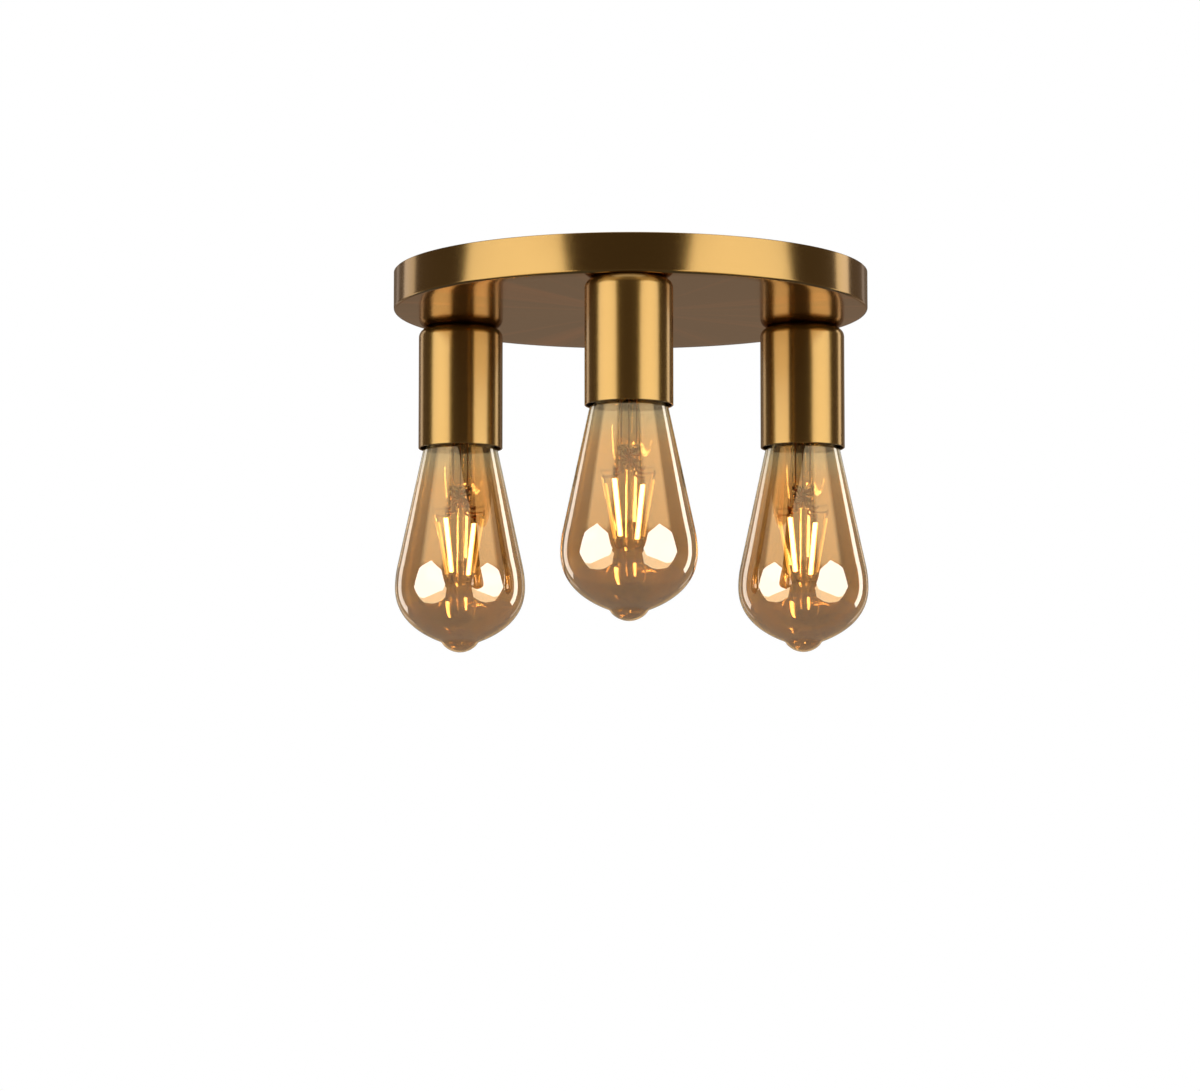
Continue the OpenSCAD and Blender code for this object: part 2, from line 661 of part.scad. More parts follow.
// Places of a pole's two clamp screws, at the tube's lower side
module clamp_places(k) for (x = [-1, 1])
    translate([block_x + x * pole_len / 4, k * pole_pitch, pole_z - pole_tube_d / 2])
        children();

module terminal_tubes() color("#c8a850") difference() {
    for (k = [-1 : 1]) translate([block_x - pole_len / 2 + 1, k * pole_pitch, pole_z])
        rotate([0, 90, 0]) ring(pole_tube_d / 2, pole_tube_bore / 2, pole_len - 2);
    for (k = [-1 : 1]) clamp_places(k) translate([0, 0, -1])
        cylinder(d = clamp_screw_d + 0.1, h = 2, $fn = 32);
}

module clamp_screws() color("#c9c4b4") for (k = [-1 : 1]) clamp_places(k) difference() {
    translate([0, 0, -2.2]) cylinder(d = clamp_screw_d, h = 2.2 + 0.8, $fn = 32);
    translate([-2, -0.25, -3]) cube([4, 0.5, 1.5]);
}

// Screws that hold the terminal block up to the strap
module block_screws() color("#c9c4b4") for (y = [-1, 1])
    translate([block_x, y * pole_pitch / 2, 0]) difference() {
        union() {
            translate([0, 0, -block_top - block_h / 2 - 0.4])
                cylinder(d = 2.5, h = block_h / 2 + block_top, $fn = 32);
            translate([0, 0, -block_top - block_h / 2 - 1.6])
                cylinder(d = 1, h = 1.3, $fn = 32);
        }
        translate([-2, -0.25, -block_top - block_h]) cube([4, 0.5, 1]);
    }

// Control points of the wires to the front, left and right lampholders. A leg
// leads out of the ferrule, and a waypoint is a share of the lampholders' circle
// with its height above the plate's floor.
live_leg = [[30, -2, 4], [14, 2, 4], [20, 0, 4]];
live_way = [[0.55, -0.56, 12], [0.16, 0.68, 11], [0.64, 0.31, 11]];
neutral_leg = [[14, 0, -5], [30, 4, -5], [24, 0, -5]];
neutral_way = [[0.31, -0.41, 2], [0.41, 0.92, 2], [0.86, 0.12, 3]];
// Where each wire leaves the ferrule, sideways and upwards
fan = [[-1, 0.6], [1, 0.6], [0, -1.1]];

function wire_path(h, pole_y, side, leg, way) =
    let (a = holder_angles[h],
         x = holder_circle * cos(a) - side * wire_offset * sin(a),
         y = holder_circle * sin(a) + side * wire_offset * cos(a),
         top = tube_top - plate_h,
         start = [ferrule_end, pole_y + fan[h][0], pole_z + fan[h][1]],
         waypoint = [way[h][0] * holder_circle, way[h][1] * holder_circle,
                     plate_wall - plate_h + way[h][2]])
    concat([start],
        curve([start, start + leg[h], waypoint, [x, y, top + 9], [x, y, top]], 18),
        [[x, y, -plate_h - foot_depth + 0.1]]);

// Collar and pin that end the wires of a pole
module ferrule(pole_y) translate([ferrule_end - ferrule_len - 0.05, pole_y, pole_z])
    rotate([0, 90, 0]) {
        cylinder(d = ferrule_d, h = ferrule_len, $fn = 32);
        translate([0, 0, -ferrule_pin])
            cylinder(d = pole_tube_bore - 0.2, h = ferrule_pin + 1, $fn = 32);
    }

// Three wires of one pole, joined in one ferrule
module pole_wires(pole_y, side, leg, way) {
    for (h = [0 : 2]) swept(wire_path(h, pole_y, side, leg, way), wire_d / 2);
    ferrule(pole_y);
}

module live_wires() color("#6b4226") pole_wires(pole_pitch, 1, live_leg, live_way);
module neutral_wires() color("#3d6ea8") pole_wires(0, -1, neutral_leg, neutral_way);

// Earth wire from its pole to a ring tag on the strap
module earth_wire() color("#6f9a3a") {
    start = [ferrule_end, -pole_pitch, pole_z];
    tag_z = -strap_t - 0.8;
    stop = [earth_x, -9.5, tag_z - 0.9];
    swept(concat([start], curve([start, start + [7, 0, 0], start + [3, -18, 0],
        [earth_x, -30, pole_z + 2], stop], 14)), wire_d / 2);
    ferrule(-pole_pitch);
    difference() {
        union() {
            translate([earth_x, 0, tag_z]) cylinder(r = 4.2, h = 0.8, $fn = 48);
            translate([earth_x - 1.6, -9.4, tag_z]) cube([3.2, 9.4, 0.8]);
        }
        translate([earth_x, 0, tag_z - 1]) cylinder(r = 2.1, h = 3, $fn = 48);
    }
}

module earth_screw() color("#c9c4b4") translate([earth_x, 0, 0]) difference() {
    union() {
        translate([0, 0, -strap_t - 0.8]) cylinder(d = 3.9, h = strap_t + 0.7, $fn = 48);
        translate([0, 0, -strap_t - 3.2]) cylinder(d = 7.4, h = 2.4, $fn = 48);
    }
    translate([-4, -0.5, -strap_t - 4]) cube([8, 1, 1.8]);
}

ceiling_plate();
mounting_bracket();
lug_nuts();
rim_screws();
threaded_tubes();
tube_nuts();
lock_washers();
long_screws();
terminal_block();
terminal_tubes();
clamp_screws();
block_screws();
live_wires();
neutral_wires();
earth_wire();
earth_screw();

// Each lampholder and its bulb
for (h = [0 : 2]) {
    on_axis(h) cup();
    on_holder(h) porcelain_cap();
    on_holder(h) contact_block();
    on_holder(h) porcelain_barrel();
    on_holder(h) screw_shell();
    on_holder(h) centre_contact();
    on_bulb(h) bulb_glass();
    on_bulb(h) bulb_cap();
    on_bulb(h) bulb_insulator();
    on_bulb(h) bulb_end_contact();
    on_bulb(h) bulb_stem();
    on_bulb(h) bulb_wires();
    on_bulb(h) bulb_filaments();
}
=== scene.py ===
# %% [markdown]
# # A flush ceiling fitting with three bare teardrop bulbs
# A round brass pan sits flat on the ceiling. Three brass cups hang from its rim, and a
# filament bulb screws into the lampholder inside each cup. We load the measured model
# first, so that every piece we shape here lands where it belongs. Z is up, the ceiling
# is the plane z = 0, and lengths are in metres.

# %% Load the measured model
import math
import bpy
import bmesh
from mathutils import Matrix, Vector


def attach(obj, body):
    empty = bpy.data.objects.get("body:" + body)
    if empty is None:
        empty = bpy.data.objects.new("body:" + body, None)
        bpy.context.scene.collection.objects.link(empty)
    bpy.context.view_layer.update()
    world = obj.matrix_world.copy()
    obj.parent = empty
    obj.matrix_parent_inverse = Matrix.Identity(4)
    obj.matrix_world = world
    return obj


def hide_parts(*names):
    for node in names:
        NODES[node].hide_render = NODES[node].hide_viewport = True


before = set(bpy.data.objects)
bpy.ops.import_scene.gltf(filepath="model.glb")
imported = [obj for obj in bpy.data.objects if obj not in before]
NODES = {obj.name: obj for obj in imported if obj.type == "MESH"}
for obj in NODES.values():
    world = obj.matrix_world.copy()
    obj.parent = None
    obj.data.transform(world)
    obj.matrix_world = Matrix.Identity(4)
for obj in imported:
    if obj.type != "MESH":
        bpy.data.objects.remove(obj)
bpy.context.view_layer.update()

MM = 0.001

# %% [markdown]
# ## Where things are
# The three lampholders share one circle, a third of a turn apart. Depths in a cup count
# down from the pan's underside, and levels in a bulb count down from its end contact.

# %% Places
UNDERSIDE = -19 * MM
CONTACT = UNDERSIDE - 21 * MM
HOLDER_CIRCLE = 97.5 * MM
HOLDERS = {"front": -90, "left": 150, "right": 30}


def axis_of(holder, height=0):
    """The point on a lampholder's axis at a height."""
    turn = math.radians(HOLDERS[holder])
    return Vector((HOLDER_CIRCLE * math.cos(turn), HOLDER_CIRCLE * math.sin(turn), height))


def mm(*points):
    """Points given in millimetres, in metres."""
    return [tuple(value * MM for value in point) for point in points]


for holder in HOLDERS:
    print(holder, [round(v, 4) for v in axis_of(holder)])

# %% [markdown]
# ## The camera
# The photograph was taken from a little below the bulbs with a long lens, which keeps
# the pan's ellipse flat. We place the camera by its distance and its tilt, as the
# outline of the pan, cups and bulbs fixed them.

# %% Camera
SENSOR = 36
FOCAL_PIXELS = 5340
IMAGE_WIDTH = 1200
CAMERA_PLACE = (0.021, -2.5618, -0.4394)
CAMERA_YAW = -0.014
CAMERA_PITCH = 0.119
FARTHEST = 50


def put(name, data):
    """Adds an object with its data to the scene."""
    made = bpy.data.objects.new(name, data)
    bpy.context.scene.collection.objects.link(made)
    return made


def aim(turn, rise, ahead=1):
    """A direction by its turn to the right and its rise, ahead along +Y or back."""
    return Vector((math.sin(turn) * math.cos(rise), ahead * math.cos(turn) * math.cos(rise),
                   math.sin(rise)))


bpy.context.scene.view_settings.view_transform = "Standard"
camera_data = bpy.data.cameras.new("camera")
camera_data.sensor_width = SENSOR
camera_data.sensor_fit = "HORIZONTAL"
camera_data.lens = FOCAL_PIXELS / IMAGE_WIDTH * SENSOR
camera_data.clip_end = FARTHEST
camera = put("camera", camera_data)
bpy.context.scene.camera = camera
camera.location = CAMERA_PLACE
camera.rotation_mode = "QUATERNION"
camera.rotation_quaternion = aim(CAMERA_YAW, CAMERA_PITCH).to_track_quat("-Z", "Y")
print("lens", round(camera_data.lens, 1), "mm")

# %% [markdown]
# ## Helpers for finishes and light
# Every finish is procedural: noise and places feed a shader through a few nodes. Each
# helper adds one node or a small group, and a socket takes a value or another socket.


# %% Node helpers
def new_material(name):
    """A material with its node tree and its main shader."""
    material = bpy.data.materials.new(name)
    material.use_nodes = True
    tree = material.node_tree
    return material, tree, tree.nodes["Principled BSDF"]


def feed(tree, socket, value):
    """Links another socket into a socket, or sets a number, a colour or a vector on it."""
    if isinstance(value, bpy.types.NodeSocket):
        tree.links.new(value, socket)
    elif socket.type == "RGBA":
        socket.default_value = (*value, 1)
    else:
        socket.default_value = value


def feed_all(tree, target, **values):
    """Feeds the named sockets of a node."""
    for name, value in values.items():
        feed(tree, target.inputs[name.replace("_", " ")], value)


def node(tree, kind, settings=None, **values):
    """Adds a node, with its settings and what its named sockets get."""
    made = tree.nodes.new(kind)
    for key, value in (settings or {}).items():
        setattr(made, key, value)
    feed_all(tree, made, **values)
    return made


def calculate(tree, operation, *values):
    """One sum on one or two values, each a number or a socket."""
    made = node(tree, "ShaderNodeMath", {"operation": operation})
    for socket, value in zip(made.inputs, values):
        feed(tree, socket, value)
    return made.outputs[0]


def own_place(tree, kind="Object"):
    """Where a point lies, in the coordinates of its own object."""
    return tree.nodes.new("ShaderNodeTexCoord").outputs[kind]


def parts_of(tree, vector):
    """The three numbers of a vector."""
    return node(tree, "ShaderNodeSeparateXYZ", Vector=vector).outputs


def noise(tree, scale, detail=2.0, roughness=0.5, place=None):
    """Cloudy noise, as a value from nought to one."""
    place = own_place(tree) if place is None else place
    return node(tree, "ShaderNodeTexNoise", Vector=place, Scale=scale, Detail=detail,
                Roughness=roughness).outputs["Fac"]


def spread(tree, value, low, high, least, most, settings=None):
    """Maps a value's range to another range."""
    return node(tree, "ShaderNodeMapRange", settings, Value=value, From_Min=low,
                From_Max=high, To_Min=least, To_Max=most).outputs[0]


def blend_colours(tree, share, first, second):
    """A colour between two, by a share from nought to one."""
    return node(tree, "ShaderNodeMix", {"data_type": "RGBA"}, Factor=share, A=first,
                B=second).outputs["Result"]


def bump(tree, height, strength, distance):
    """A normal for a surface that a height value raises."""
    return node(tree, "ShaderNodeBump", Strength=strength, Distance=distance,
                Height=height).outputs[0]


def seen_rays(tree, kinds):
    """One for the kinds of ray that show the white ground, and nought for the rest."""
    path = tree.nodes.new("ShaderNodeLightPath")
    total = path.outputs[kinds[0]]
    for kind in kinds[1:]:
        total = calculate(tree, "MAXIMUM", total, path.outputs[kind])
    return total


def mix_shaders(tree, share, first, second):
    """A shader between two, by a share from nought to one."""
    mix = tree.nodes.new("ShaderNodeMixShader")
    for socket, value in zip(mix.inputs, (share, first.outputs[0], second.outputs[0])):
        feed(tree, socket, value)
    return mix.outputs[0]


def mesh_object(name, shape):
    """Writes a shape to a new mesh object and lets the shape go."""
    mesh = bpy.data.meshes.new(name)
    shape.to_mesh(mesh)
    shape.free()
    return put(name, mesh)


# %% [markdown]
# ## The studio
# Brushed metal shows the room more than it shows itself. Two octaboxes left and right of
# the camera give each cup its two bright bands, with a dark band between them where the
# metal sees the dim front of the room. Warm softboxes above them light the bulbs' cones,
# and strips at the sides and behind draw the thin lines along the edges. The light is
# laid out by the direction in which the object sees it, so one helper places every lamp.

# %% Lamps
MIDDLE = Vector((0, 0, -0.09))
WARM_WHITE = (1, 0.78, 0.45)


def soften_edges(lamp, edge):
    """Fades a lamp's glow out towards its rim, as its diffusing cloth does."""
    lamp.use_nodes = True
    tree = lamp.node_tree
    across = parts_of(tree, tree.nodes.new("ShaderNodeNewGeometry").outputs["Parametric"])
    fades = [spread(tree, calculate(tree, "PINGPONG", across[axis], 0.5), 0, edge, 0, 1,
                    {"interpolation_type": "SMOOTHSTEP"}) for axis in (0, 1)]
    feed_all(tree, tree.nodes["Emission"], Strength=calculate(tree, "MULTIPLY", *fades))


def set_out(bearing, height, distance):
    """A place round the object and the way out to it, by angles in degrees."""
    away = aim(math.radians(bearing), math.radians(height), ahead=-1)
    return MIDDLE + distance * away, away


def stand_along(place, way):
    """The matrix that stands something made on the Z axis at a place, along a way."""
    return Matrix.Translation(place) @ way.to_track_quat("Z", "Y").to_matrix().to_4x4()


def softbox(name, bearing, height, distance, wide, tall, radiance, colour=(1, 1, 1), edge=0):
    """A lamp seen from the object at a bearing from the camera side, in degrees."""
    lamp = bpy.data.lights.new(name, "AREA")
    lamp.shape = "RECTANGLE"
    lamp.size = wide
    lamp.size_y = tall
    lamp.color = colour
    lamp.energy = radiance * math.pi * wide * tall
    if edge:
        soften_edges(lamp, edge)
    holder = put(name, lamp)
    holder.rotation_mode = "QUATERNION"
    holder.location, away = set_out(bearing, height, distance)
    holder.rotation_quaternion = away.to_track_quat("Z", "Y")
    holder.visible_camera = False
    print(name, "radiance", radiance)


for name, bearing in (("left_bounce", -56), ("right_bounce", 54)):
    softbox(name, bearing, 40, 2.15, 2.1, 1.9, 0.78, WARM_WHITE, edge=0.22)
softbox("left_strip", -132, 6, 2.0, 0.5, 2.0, 1.15)
softbox("right_strip", 122, 6, 2.0, 0.45, 2.0, 2.0)
for side in (-1, 1):
    softbox(f"edge_strip_{side}", side * 152, 8, 2.0, 0.2, 2.2, 0.3)
softbox("front_bounce", 0, 46, 2.0, 1.6, 1.3, 0.25, WARM_WHITE)
softbox("top_light", 0, 89, 2.3, 2.0, 2.0, 1.0)

# %% [markdown]
# ## The two octaboxes
# The big lamps are eight-sided, and the bulbs show that shape. A lamp in Blender is round
# or square, so each of these is a flat eight-sided card that glows. It belongs to the set
# as the floor does, and the camera doesn't see it. A dimmer, warmer card peeps out below
# each, as the glass shows a second, fainter picture of the lamp.


# %% Octaboxes
def octabox(name, bearing, height, distance, wide, tall, radiance, colour=(1, 1, 1)):
    """An eight-sided glowing card, laid out as the lamps are."""
    shape = bmesh.new()
    bmesh.ops.create_circle(shape, cap_ends=True, radius=0.5, segments=8)
    bmesh.ops.scale(shape, vec=(wide, tall, 1), verts=shape.verts)
    bmesh.ops.transform(shape, matrix=stand_along(*set_out(bearing, height, distance)),
                        verts=shape.verts)
    card = mesh_object(name, shape)
    card.visible_camera = False
    material, tree, shader = new_material(name)
    feed_all(tree, shader, Base_Color=(0.8, 0.8, 0.8), Emission_Color=colour,
             Emission_Strength=radiance)
    card.data.materials.append(material)
    print(name, "radiance", radiance)


for name, bearing in (("left", -57), ("right", 54.5)):
    octabox(f"{name}_octabox", bearing, -2.0, 2.0, 2.4, 2.06, 2.6)
    octabox(f"{name}_low_octabox", bearing * 0.95, -13, 2.1, 2.4, 2.3, 1.3, WARM_WHITE)

# %% [markdown]
# ## The room
# The picture's ground is pure white, and the metal still has dark bands. So the room is
# white for what the camera sees, by itself and through glass, and dim and warm for the
# rest of the light: darkest in front, where the camera stands, and lighter towards the
# floor. A card stands behind the object and a pale floor lies far below. Both show white
# to the camera and a dim grey in the metal's reflections, as a lit studio does.

# %% World, backdrop and floor
ROOM_COLOUR = (1, 0.78, 0.56)
WHITE_IN_GLASS = 0.4
REFLECTED_GROUND = 0.16
SEEN = ("Is Camera Ray", "Is Transmission Ray")

world = bpy.data.worlds.new("studio")
bpy.context.scene.world = world
world.use_nodes = True
tree = world.node_tree
tree.nodes.clear()
_, back, up = parts_of(tree, own_place(tree, "Generated"))
dim = calculate(tree, "ADD", spread(tree, back, -1, 1, 0.13, 0.19),
                spread(tree, up, 0.03, -0.12, 0, 0.08))
room = node(tree, "ShaderNodeBackground", Color=ROOM_COLOUR, Strength=dim)
white = node(tree, "ShaderNodeBackground", Color=(1, 1, 1), Strength=1.0)
depth = tree.nodes.new("ShaderNodeLightPath").outputs["Transmission Depth"]
inside_glass = calculate(tree, "MULTIPLY", calculate(tree, "GREATER_THAN", depth, 0.5),
                         WHITE_IN_GLASS)
share = calculate(tree, "MAXIMUM", inside_glass, seen_rays(tree, SEEN))
node(tree, "ShaderNodeOutputWorld", Surface=mix_shaders(tree, share, room, white))


def stage_card(name, size, place, turn):
    """A flat pale card of the set: white to the camera, grey in reflections."""
    shape = bmesh.new()
    bmesh.ops.create_grid(shape, x_segments=4, y_segments=4, size=0.5)
    bmesh.ops.scale(shape, vec=(*size, 1), verts=shape.verts)
    bmesh.ops.rotate(shape, matrix=Matrix.Rotation(turn, 3, "X"), verts=shape.verts)
    bmesh.ops.translate(shape, vec=place, verts=shape.verts)
    card = mesh_object(name, shape)
    material, tree, shader = new_material(name)
    feed_all(tree, shader, Base_Color=(0.86, 0.86, 0.85), Roughness=0.8)
    glow = calculate(tree, "MAXIMUM", seen_rays(tree, SEEN), REFLECTED_GROUND)
    light = node(tree, "ShaderNodeEmission", Strength=glow)
    rays = seen_rays(tree, ("Is Camera Ray", "Is Glossy Ray", "Is Transmission Ray"))
    feed_all(tree, tree.nodes["Material Output"],
             Surface=mix_shaders(tree, rays, shader, light))
    card.data.materials.append(material)


stage_card("backdrop", (1.5, 1.1), (0, 4.5, 0.25), math.radians(90))
stage_card("floor", (7, 7), (0, 0, -1.6), 0)
print("room ready")

# %% [markdown]
# ## Turning an outline into a round piece
# Pan, cups, bulbs and caps are all round, and on the real object each is spun, drawn or
# blown round an axis. We do the same: draw half of the section once and spin it. The
# outline may close on itself, as for a sheet with its thickness, or end on the axis.
# A bevel on the sharp rings gives the small roundings that catch the light.

# %% Spinning and finishing
SAME = 1e-7
CREASE = 32


def spin_outline(shape, outline, steps, closed=True):
    """Spins an outline of radius and height round the Z axis, and returns its vertices."""
    before = set(shape.verts)
    row = [shape.verts.new((radius, 0, height)) for radius, height in outline]
    pairs = list(zip(row, row[1:])) + ([(row[-1], row[0])] if closed else [])
    edges = [shape.edges.new(pair) for pair in pairs]
    bmesh.ops.spin(shape, geom=row + edges, cent=(0, 0, 0), axis=(0, 0, 1),
                   dvec=(0, 0, 0), angle=2 * math.pi, steps=steps, use_merge=True,
                   use_normal_flip=False, use_duplicate=False)
    bmesh.ops.remove_doubles(shape, verts=shape.verts, dist=SAME)
    return [v for v in shape.verts if v not in before]


def spun(outline, steps, closed=True):
    """A new shape from one spun outline."""
    shape = bmesh.new()
    spin_outline(shape, outline, steps, closed)
    return shape


def round_edges(shape, width, degrees=35):
    """Bevels every edge sharper than the given angle."""
    sharp = [e for e in shape.edges
             if len(e.link_faces) == 2 and e.calc_face_angle() > math.radians(degrees)]
    corners = list({v for e in sharp for v in e.verts})
    bmesh.ops.bevel(shape, geom=sharp + corners, offset=width, offset_type="OFFSET",
                    affect="EDGES", segments=2, profile=0.5, material=-1,
                    clamp_overlap=True)


def smooth_shade(mesh, degrees):
    """Shades a mesh smoothly, with a crease where faces meet at a sharper angle."""
    mesh.polygons.foreach_set("use_smooth", [True] * len(mesh.polygons))
    mesh.set_sharp_from_angle(angle=math.radians(degrees))


def finish_piece(name, shape, materials, body, source, place=None, sharp=CREASE):
    """Closes a shape, faces it outwards and makes it a piece that rides on a body."""
    if place is not None:
        bmesh.ops.translate(shape, vec=place, verts=shape.verts)
    bmesh.ops.remove_doubles(shape, verts=shape.verts, dist=SAME)
    bmesh.ops.recalc_face_normals(shape, faces=shape.faces)
    piece = mesh_object(name, shape)
    smooth_shade(piece.data, sharp)
    for material in materials:
        piece.data.materials.append(material)
    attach(piece, body)
    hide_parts(source)
    print(f"{name}: {len(piece.data.polygons)} faces")
    return piece


def finish_in_bulb(holder, name, shape, materials, part, body="bulb", sharp=CREASE):
    """Finishes a piece of a bulb, which was shaped with its end contact at nought."""
    finish_piece(f"{holder}_{name}", shape, materials, f"{holder}_{body}",
                 f"{holder}_bulb_{part}", axis_of(holder, CONTACT), sharp)


def arc_points(centre, radius, start, stop, count):
    """Points along an arc in the section, without its first point."""
    turns = [math.radians(start + (stop - start) * i / count) for i in range(1, count + 1)]
    return [(centre[0] + radius * math.cos(t), centre[1] + radius * math.sin(t))
            for t in turns]


def bezier_points(controls, count):
    """Points along a smooth curve that its control points pull, without the first."""
    def point(points, t):
        while len(points) > 1:
            points = [a.lerp(b, t) for a, b in zip(points, points[1:])]
        return points[0]
    controls = [Vector(c) for c in controls]
    return [tuple(point(controls, i / count)) for i in range(1, count + 1)]


# %% [markdown]
# ## Brushed antique brass
# The pan and cups are polished on a lathe with a fine abrasive, so hair-thin lines run
# round the axis, and a reflection stays sharp sideways and smears along the axis. Two
# things give that look: noise that is stretched round the axis, for colour, roughness
# and a faint bump, and an anisotropic highlight turned to the same direction. The lines
# follow height on a wall and radius on a flat face, so we feed the noise their sum.
# Each piece has its own axis, which a Mapping node centres.

# %% Brushed brass
BRASS = ((0.33, 0.197, 0.052), (0.35, 0.213, 0.060))
# The colour of the painted reflection of the bulbs' warm light on the pan's underside.
PAINTED_GLINT_COLOUR = (0.62, 0.27, 0.06)
LINE_FINENESS = 5200
LINE_BREAKS = 14


def axis_distance(tree, x, y):
    """How far a place lies from the axis."""
    squares = [calculate(tree, "MULTIPLY", value, value) for value in (x, y)]
    return calculate(tree, "SQRT", calculate(tree, "ADD", *squares))


def axis_lines(tree, centre):
    """Noise that runs in rings round an axis, on walls and on flat faces alike."""
    centred = node(tree, "ShaderNodeMapping", Vector=own_place(tree),
                   Location=(-centre[0], -centre[1], 0)).outputs[0]
    x, y, z = parts_of(tree, centred)
    ring = calculate(tree, "ADD", axis_distance(tree, x, y), z)
    joined = node(tree, "ShaderNodeCombineXYZ", X=calculate(tree, "MULTIPLY", x, LINE_BREAKS),
                  Y=calculate(tree, "MULTIPLY", y, LINE_BREAKS),
                  Z=calculate(tree, "MULTIPLY", ring, LINE_FINENESS))
    return noise(tree, 1.0, 3.0, 0.65, joined.outputs[0]), centred


def underside_only(tree):
    """One where the surface faces straight down, and nought elsewhere."""
    return calculate(tree, "LESS_THAN", parts_of(tree, own_place(tree, "Normal"))["Z"], -0.9)


def painted_glint_fans(tree, places):
    """Faint fan-shaped streaks on the underside only: a painted reflection of the bulbs' warm
    light.
    """
    x, y, _ = parts_of(tree, places)
    radius = axis_distance(tree, x, y)
    bearing = node(tree, "ShaderNodeCombineXYZ", X=calculate(tree, "DIVIDE", x, radius),
                   Y=calculate(tree, "DIVIDE", y, radius))
    fans = spread(tree, noise(tree, 4.0, 4.0, 0.6, bearing.outputs[0]), 0.5, 0.7, 0, 0.8)
    return calculate(tree, "MULTIPLY", underside_only(tree), fans)


def brushed_brass(name, centre, rough, along_lines, coat, painted_lightness, streaks, painted_glints=False):
    """Antique brass, brushed round the given axis and lacquered, its colour scaled by a
    painted lightness.
    """
    material, tree, shader = new_material(name)
    lines, places = axis_lines(tree, centre)
    tone = calculate(tree, "ADD", calculate(tree, "MULTIPLY", lines, 0.6),
                     calculate(tree, "MULTIPLY", noise(tree, 26.0, place=places), 0.4))
    # The same brass is scaled darker or lighter per piece: painted shade on the pan, painted
    # light on the cups.
    dark, light = (tuple(painted_lightness * value for value in colour) for colour in BRASS)
    colour = blend_colours(tree, spread(tree, tone, 0.35, 0.65, 0, 1), dark, light)
    polish = spread(tree, lines, 0.3, 0.7, rough - streaks, rough + streaks)
    # The underside's colour gets fan-shaped copper streaks: a painted reflection of the bulbs'
    # warm light.
    if painted_glints:
        colour = blend_colours(tree, painted_glint_fans(tree, places), colour, PAINTED_GLINT_COLOUR)
        polish = calculate(tree, "SUBTRACT", polish,
                           calculate(tree, "MULTIPLY", underside_only(tree), 0.08))
    tangent = node(tree, "ShaderNodeTangent", {"direction_type": "RADIAL", "axis": "Z"})
    feed_all(tree, shader, Base_Color=colour, Roughness=polish, Metallic=1.0,
             Specular_Tint=(0.92, 0.80, 0.72), Coat_Weight=coat, Coat_Roughness=0.15,
             Anisotropic=along_lines, Anisotropic_Rotation=0.25,
             Tangent=tangent.outputs[0], Normal=bump(tree, lines, 2 * streaks, 0.01 * MM))
    return material


# %% [markdown]
# ## The pan
# The ceiling plate is a shallow steel pan, spun over a block and brass plated, open
# towards the ceiling. Its section is one sheet with a tight bend at the foot of the rim.
# We spin that section, then cut the holes for the threaded tubes and the two rim screws
# with a Boolean, which is quick to change and leaves clean round holes.

# %% Spin the pan
PAN_RADIUS = 115 * MM
SHEET = 1.0 * MM
BEND = 1.5 * MM
EDGE = 0.25 * MM
INNER_EDGE = 0.2 * MM
FLAT_RINGS = (0, 60 * MM, 105 * MM)
TUBE_HOLE = 5.15 * MM
SCREW_HOLE = 2.2 * MM
SCREW_LEVEL = -8 * MM
DRILL = 8 * MM


def cutter(name, radius, length, place, turn=None):
    """A round tool for a Boolean, thrown away after the cut."""
    shape = bmesh.new()
    bmesh.ops.create_cone(shape, cap_ends=True, segments=64, radius1=radius,
                          radius2=radius, depth=length)
    if turn is not None:
        bmesh.ops.rotate(shape, matrix=turn, verts=shape.verts)
    bmesh.ops.translate(shape, vec=place, verts=shape.verts)
    return mesh_object(name, shape)


def cut_with(piece, tools):
    """Cuts tools out of a piece and removes them."""
    for tool in tools:
        cut = piece.modifiers.new("cut", "BOOLEAN")
        cut.operation = "DIFFERENCE"
        cut.solver = "EXACT"
        cut.object = tool
    layer = bpy.context.evaluated_depsgraph_get()
    mesh = bpy.data.meshes.new_from_object(piece.evaluated_get(layer))
    piece.modifiers.clear()
    old = piece.data
    piece.data = mesh
    mesh.name = piece.name
    bpy.data.meshes.remove(old)
    for tool in tools:
        bpy.data.objects.remove(tool)
    smooth_shade(mesh, CREASE)
    print(f"{piece.name} cut: {len(mesh.polygons)} faces")


corner = (PAN_RADIUS - BEND, UNDERSIDE + BEND)
outside = [(radius, UNDERSIDE) for radius in (*FLAT_RINGS, PAN_RADIUS - BEND)]
outside += arc_points(corner, BEND, -90, 0, 8)
outside += [(PAN_RADIUS, -EDGE), (PAN_RADIUS - EDGE, 0)]
inside = [(PAN_RADIUS - SHEET + INNER_EDGE, 0), (PAN_RADIUS - SHEET, -INNER_EDGE),
          (PAN_RADIUS - SHEET, UNDERSIDE + BEND)]
inside += arc_points(corner, BEND - SHEET, 0, -90, 5)
inside += [(radius, UNDERSIDE + SHEET) for radius in FLAT_RINGS[::-1]]

# The pan's brass is painted darker than the cups' brass, as painted shade.
pan_brass = brushed_brass("brushed_brass_pan", (0, 0), rough=0.18, along_lines=0.85,
                          coat=0.35, painted_lightness=0.80, streaks=0.014, painted_glints=True)
pan = finish_piece("spun_pan", spun(outside + inside, 256, closed=False), [pan_brass],
                   "fitting", "ceiling_plate")
tools = [cutter(f"tube_hole_{h}", TUBE_HOLE, DRILL, axis_of(h, UNDERSIDE)) for h in HOLDERS]
tools += [cutter(f"screw_hole_{side}", SCREW_HOLE, DRILL,
                 (side * PAN_RADIUS, 0, SCREW_LEVEL), Matrix.Rotation(math.pi / 2, 3, "Y"))
          for side in (-1, 1)]
cut_with(pan, tools)

